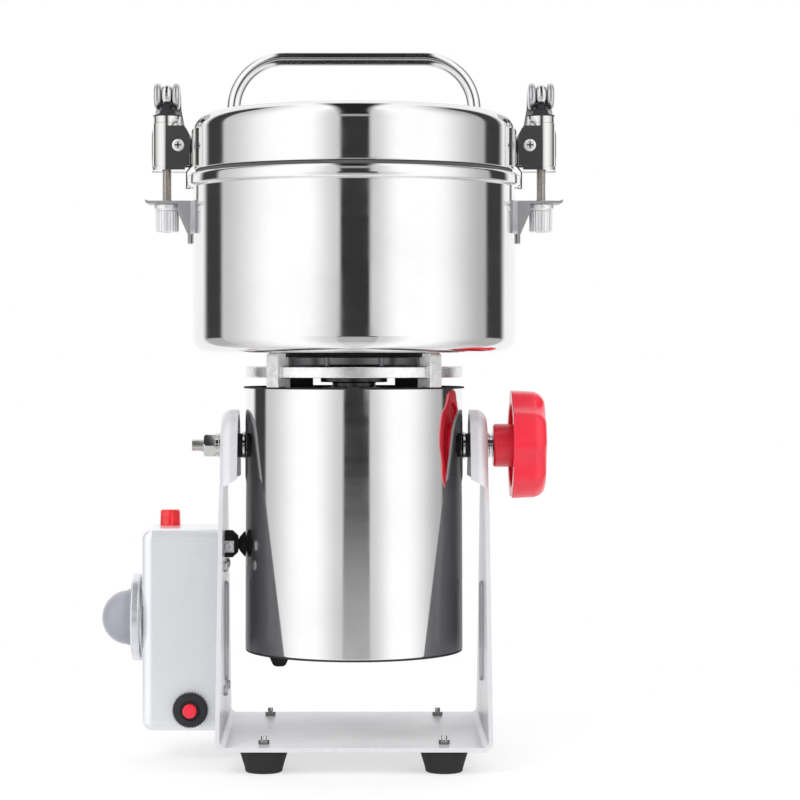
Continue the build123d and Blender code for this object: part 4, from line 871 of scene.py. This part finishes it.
class GRAINMILL_OT_pivot(GrainMillOperator):
    """Cuts the flanged tilt studs with their threads, and finishes their washers, sleeves and nut"""
    bl_idname = "grain_mill.pivot"
    bl_label = "Tilt pivot"

    def make(self):
        fine = sizes().edge_round
        pitch = sizes().stud_pitch / MM
        centre = (0, 0, TILT_HEIGHT)
        nut_end, wheel_end = 97.0, 105.0
        studs = []
        for axis, end in (((-1, 0, 0), nut_end), ((1, 0, 0), wheel_end)):
            studs.append(placed(threaded(3.98, 3.3, pitch, 60.6, end), axis, centre))
            studs.append(spun(
                [(0.0, 60.8), (9.0, 60.8, 0.4), (9.0, 63.3, 0.4), (0.0, 63.3)], 40, closed=False,
                axis=axis, centre=centre))
        finish_piece(
            "tilt_studs", joined(*studs), "plated_steel", "mill", ("pivot_studs",), sharp=50)
        refined("pivot_sleeves", "tilt_sleeves", "black_plastic", fine)
        refined("pivot_washers", "tilt_washers", "plated_steel", fine * 0.7)
        refined("pivot_nut", "tilt_nut", "plated_steel", fine)


class GRAINMILL_OT_wheel(GrainMillOperator):
    """Finishes the lobed hand wheel"""
    bl_idname = "grain_mill.wheel"
    bl_label = "Hand wheel"

    def make(self):
        refined("hand_wheel", "wheel_grip", "wheel_plastic", sizes().moulded_round, segments=3)


class GRAINMILL_OT_neck(GrainMillOperator):
    """Finishes the end bell, bearing housing, gasket and bottom cap"""
    bl_idname = "grain_mill.neck"
    bl_label = "Neck and cap"

    def make(self):
        fine = sizes().edge_round
        refined("end_bell", "bell_casting", "bright_casting", fine * 1.5)
        refined("bearing_housing", "housing_casting", "dark_casting", fine * 1.5)
        refined("neck_gasket", "neck_ring", "black_rubber", fine)
        refined("bottom_cap", "cap_moulding", "black_plastic", fine)
        refined("shaft_seal", "seal_lip", "silicone", fine)


class GRAINMILL_OT_latches(GrainMillOperator):
    """Builds both lid latches with cross-head screws, threaded rods and ridged thumb nuts"""
    bl_idname = "grain_mill.latches"
    bl_label = "Lid latches"

    def make(self):
        fine = sizes().edge_round
        refined("lid_brackets", "lid_latch_pads", "plated_steel", fine * 0.8)
        refined("bowl_brackets", "bowl_forks", "bracket_steel", fine * 0.8)
        refined("hinge_screws", "latch_screws", "nut_steel", fine * 0.5)
        # Black crosses of painted shade sit in the screw recesses and darken them where shade would fall.
        shade_crosses = [
            painted_shade_cross(1.95, 0.8, 0.3, (side * HINGE_X, HINGE_HEAD_Y, HINGE_HEIGHT)) for _, side in SIDES]
        finish_piece("screw_recess_painted_shade", joined(*shade_crosses), "black_plastic", "mill")
        for name, side in SIDES:
            refined(f"latch_block_{name}", f"swing_block_{name}", "plated_steel", fine * 0.8)
            refined(f"latch_dome_{name}", f"cam_washer_{name}", "black_plastic", fine * 0.5)
            refined(f"latch_lever_{name}", f"cam_lever_{name}", "cam_steel", fine)
            self.pull_rod(name, side)
            self.thumb_nut(name, side)

    def pull_rod(self, name, side):
        """The threaded rod with its black neck and round eye."""
        rod = f"latch_rod_{name}"
        foot = (ROD_X, 0, 0)
        thread = placed(threaded(2.97, 2.45, sizes().rod_pitch / MM, 316.0, 387.0), centre=foot)
        finish_piece(
            f"rod_thread_{name}", mirrored_copy(thread, side), "thread_steel", rod, sharp=50)
        neck = spun(
            [(0.0, 386.9), (2.97, 386.9, 0.2), (2.97, 391.0, 0.2), (0.0, 391.0)], 32, closed=False,
            centre=foot)
        finish_piece(f"rod_neck_{name}", mirrored_copy(neck, side), "black_plastic", rod)
        eye = spun(
            [(0.0, -3.15), (6.5, -3.15, 2.6), (6.5, 3.15, 2.6), (0.0, 3.15)], 48, closed=False,
            axis=(1, 0, 0), centre=(ROD_X, 0, EYE_HEIGHT))
        finish_piece(
            f"rod_eye_{name}", mirrored_copy(eye, side), "plated_steel", rod, (rod,),
            sharp=50)

    def thumb_nut(self, name, side):
        """The nut with upright ridges and a smooth collar."""
        drum = ridged(7.1, 0.5, sizes().knurls, 313.8, 326.7, 0.7, 3.05)
        collar = spun([
            (3.05, 326.6), (6.8, 326.6, 0.2), (7.9, 328.1, 0.8), (7.9, 330.4, 0.6), (3.05, 330.4)], 48)
        nut = placed(joined(drum, collar), centre=(side * ROD_X, 0, 0))
        body = f"thumb_nut_{name}"
        finish_piece(f"finger_nut_{name}", nut, "nut_steel", body, (body,))


class GRAINMILL_OT_cable(GrainMillOperator):
    """Makes the cable gland, the cone grommet and a straight cable cut into short rings"""
    bl_idname = "grain_mill.cable"
    bl_label = "Cable and bushes"

    def make(self):
        fine = sizes().edge_round
        refined("arm_gland", "cable_gland", "black_rubber", fine)
        refined("motor_bushes", "shell_grommet", "black_rubber", fine)
        radius = 3.2
        bm = spun(
            [(0.0, 0.0), (radius, 0.0), (radius, CABLE_LENGTH), (0.0, CABLE_LENGTH)], 28, closed=False,
            axis=(1, 0, 0), centre=(CABLE_START, 0, CABLE_HEIGHT))
        for step in range(1, int(CABLE_LENGTH)):
            bmesh.ops.bisect_plane(
                bm, geom=everything(bm), dist=1e-7, plane_co=((CABLE_START + step) * MM, 0, 0),
                plane_no=(1, 0, 0))
        cable = finish_piece("cable_sheath", bm, "black_rubber", None, ("motor_cable",))
        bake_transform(cable)


class GRAINMILL_OT_inside(GrainMillOperator):
    """Gives the motor's inner pieces and the blades their finishes"""
    bl_idname = "grain_mill.inside"
    bl_label = "Inner pieces"

    def make(self):
        fine = sizes().edge_round
        for node, material in (
            ("stator_core", "core_sheets"), ("armature_core", "core_sheets"), ("field_coils", "copper_wire"),
            ("armature_windings", "copper_wire"), ("commutator", "commutator_copper"),
            ("brush_holders", "black_plastic"), ("carbon_brushes", "carbon"),
            ("ball_bearings", "plated_steel"), ("cooling_fan", "black_plastic"),
            ("motor_shaft", "plated_steel"), ("blade_spacers", "plated_steel"),
        ):
            paint_node(node, material)
        refined("lower_blade", "low_blade", "blade_steel", fine)
        refined("upper_blade", "high_blade", "blade_steel", fine)
        refined("blade_nut", "cap_nut", "plated_steel", fine)


# ---------------------------------------------------------------- stage
class GRAINMILL_OT_stage(GrainMillOperator):
    """Sets up the pale floor, the white room, the lamps and the camera"""
    bl_idname = "grain_mill.stage"
    bl_label = "Stage"

    def make(self):
        studio = bpy.context.scene.grain_mill_studio
        self.floor(studio.floor_radius)
        self.room(studio.ambient)
        self.lamp("key_lamp", studio.key_power, (-0.9, -1.1, 1.3))
        self.lamp("fill_lamp", studio.fill_power, (1.2, -0.7, 0.9))
        self.lamp("back_lamp", studio.fill_power, (0.4, 1.2, 1.2))
        data = bpy.data.cameras.new("camera")
        data.lens = studio.lens
        data.sensor_width = 36.0
        data.shift_x = studio.shift_x
        data.shift_y = studio.shift_y
        camera = bpy.data.objects.new("camera", data)
        camera.location = (0, -studio.camera_distance, studio.camera_height)
        camera.rotation_euler = (pi / 2, 0, 0)
        bpy.context.scene.collection.objects.link(camera)
        bpy.context.scene.camera = camera
        bpy.context.scene.view_settings.view_transform = "Standard"

    def floor(self, radius):
        """A pale disc that keeps the shadow and fades into the white room."""
        bm = bmesh.new()
        bmesh.ops.create_circle(bm, cap_ends=True, radius=radius, segments=96)
        mesh = bpy.data.meshes.new("floor")
        bm.to_mesh(mesh)
        bm.free()
        floor = bpy.data.objects.new("floor", mesh)
        bpy.context.scene.collection.objects.link(floor)
        tree, shader = start_material("pale_floor", Roughness=0.9, Specular_IOR_Level=0.0)
        shader.inputs["Base Color"].default_value = (0.96, 0.96, 0.96, 1)
        point = add_node(tree, "ShaderNodeVectorMath", {0: object_point(tree)}, operation="LENGTH")
        shown = span(tree, point.outputs["Value"], radius * 0.5, radius * 0.98, 0.5, 0.0)
        clear = add_node(tree, "ShaderNodeBsdfTransparent").outputs[0]
        mix = add_node(tree, "ShaderNodeMixShader", {0: shown, 1: clear, 2: shader.outputs[0]})
        tree.links.new(mix.outputs[0], tree.nodes["Material Output"].inputs["Surface"])
        mesh.materials.append(bpy.data.materials["pale_floor"])

    def room(self, ambient):
        """White walls with dark gaps between them for the metal to mirror, and a plain level of light."""
        world = bpy.data.worlds.new("white_room")
        bpy.context.scene.world = world
        world.use_nodes = True
        tree = world.node_tree
        tree.nodes.clear()
        axes = axes_of(tree, add_node(tree, "ShaderNodeTexCoord").outputs["Generated"])
        front = maths(tree, "MULTIPLY", axes["Y"], -1.0)
        place = span(tree, maths(tree, "ARCTAN2", axes["X"], front), -pi, pi, 0.0, 1.0)
        level = self.walls(tree, place, gap_left=8.5, gap_right=10, white_from=33)
        below = self.walls(tree, place, gap_left=10, gap_right=15, white_from=44)
        # Low down, nothing is darker than a middle grey.
        faded = maths(tree, "MAXIMUM", below, span(tree, axes["Z"], -0.115, -0.055, 0.42, 0.03))
        walls = blended(tree, span(tree, axes["Z"], -0.012, -0.004, 0.0, 1.0), faded, level)
        # Overhead, a dark beam runs from the front gap over the white ceiling and ends past its middle.
        open_white, beam_black = (0.95, 0.95, 0.95), (0.015, 0.015, 0.015)
        beam_place = span(tree, axes["X"], -0.20, 0.20, 0.0, 1.0)
        beam = maths(
            tree, "MULTIPLY", ramp(tree, beam_place, [(0.0, 0.0), (0.2, 1.0), (0.8, 1.0), (1.0, 0.0)]),
            span(tree, axes["Y"], 0.25, 0.45, 1.0, 0.0))
        overhead = span(tree, axes["Z"], 0.10, 0.16, 0.0, 1.0)
        upper = blended(tree, span(tree, axes["Z"], 0.78, 0.95, 0.0, 1.0), walls, open_white)
        ceiling = blended(tree, beam, upper, beam_black)
        # A little above level, nothing in front is darker than a middle grey.
        gap = maths(tree, "MULTIPLY", span(tree, axes["Z"], 0.12, 0.15, 0.0, 0.35),
                    span(tree, axes["Z"], 0.30, 0.36, 1.0, 0.0))
        front_gap = maths(tree, "MULTIPLY", gap, span(tree, axes["Y"], -0.5, -0.3, 1.0, 0.0))
        studio = maths(tree, "MAXIMUM", blended(tree, overhead, walls, ceiling), front_gap)
        path = add_node(tree, "ShaderNodeLightPath").outputs
        mirrored = maths(tree, "MAXIMUM", path["Is Glossy Ray"], path["Is Transmission Ray"])
        bright = add_node(
            tree, "ShaderNodeVectorMath", {0: studio, "Scale": 1.22}, operation="SCALE").outputs[0]
        plain = blended(tree, mirrored, (ambient,) * 3, bright)
        shown = blended(tree, path["Is Camera Ray"], plain, (1.0, 1.0, 1.0))
        background = add_node(tree, "ShaderNodeBackground", {"Color": shown, "Strength": 1.0})
        output = tree.nodes.new("ShaderNodeOutputWorld")
        tree.links.new(background.outputs[0], output.inputs["Surface"])

    def walls(self, tree, place, gap_left, gap_right, white_from):
        """The grey of the walls by the angle from the camera, in degrees.

        A dark gap stands in front and one on each side, and each wall is white in its middle and dimmer at
        both ends."""
        stops = []
        for side, front, far_end in ((-1, gap_left, 0.55), (1, gap_right, 0.42)):
            wall = (
                (front, 0.03), (front + 2, 0.6), (white_from, 1.0), (55, 1.0), (104, far_end),
                (109, 0.04), (125, 0.04), (135, 0.85), (180, 0.85))
            stops += [((180 + side * angle) / 360, grey) for angle, grey in wall]
        return ramp(tree, place, sorted(stops), "EASE")

    def lamp(self, name, power, place):
        """A broad soft lamp that faces the mill's middle and isn't mirrored in the metal."""
        data = bpy.data.lights.new(name, "AREA")
        data.energy = power
        data.size = 0.9
        lamp = bpy.data.objects.new(name, data)
        lamp.location = place
        middle = Vector((0, 0, 0.2))
        lamp.rotation_euler = (middle - lamp.location).to_track_quat("-Z", "Y").to_euler()
        lamp.visible_glossy = False
        bpy.context.scene.collection.objects.link(lamp)


PIECE_OPERATORS = (
    GRAINMILL_OT_finishes, GRAINMILL_OT_vessels, GRAINMILL_OT_handle, GRAINMILL_OT_bracket, GRAINMILL_OT_box,
    GRAINMILL_OT_timer, GRAINMILL_OT_pivot, GRAINMILL_OT_wheel, GRAINMILL_OT_neck, GRAINMILL_OT_latches,
    GRAINMILL_OT_cable, GRAINMILL_OT_inside, GRAINMILL_OT_stage,
)


class GRAINMILL_PT_panel(bpy.types.Panel):
    """Lists the mill's settings and piece operators"""
    bl_idname = "GRAINMILL_PT_panel"
    bl_label = "Grain mill"
    bl_space_type = "VIEW_3D"
    bl_region_type = "UI"
    bl_category = "Grain mill"

    def draw(self, context):
        for settings in (
            context.scene.grain_mill_sizes, context.scene.grain_mill_colours, context.scene.grain_mill_studio,
        ):
            column = self.layout.column(align=True)
            for name in settings.__annotations__:
                column.prop(settings, name)
        for operator in PIECE_OPERATORS:
            self.layout.operator(operator.bl_idname)


CLASSES = (GrainMillSizes, GrainMillColours, GrainMillStudio, *PIECE_OPERATORS, GRAINMILL_PT_panel)


def register():
    for cls in CLASSES:
        bpy.utils.register_class(cls)
    bpy.types.Scene.grain_mill_sizes = PointerProperty(type=GrainMillSizes)
    bpy.types.Scene.grain_mill_colours = PointerProperty(type=GrainMillColours)
    bpy.types.Scene.grain_mill_studio = PointerProperty(type=GrainMillStudio)


def unregister():
    del bpy.types.Scene.grain_mill_studio
    del bpy.types.Scene.grain_mill_colours
    del bpy.types.Scene.grain_mill_sizes
    for cls in reversed(CLASSES):
        bpy.utils.unregister_class(cls)


def main():
    register()
    for operator in PIECE_OPERATORS:
        group, name = operator.bl_idname.split(".")
        getattr(getattr(bpy.ops, group), name)()


if __name__ == "__main__":
    main()
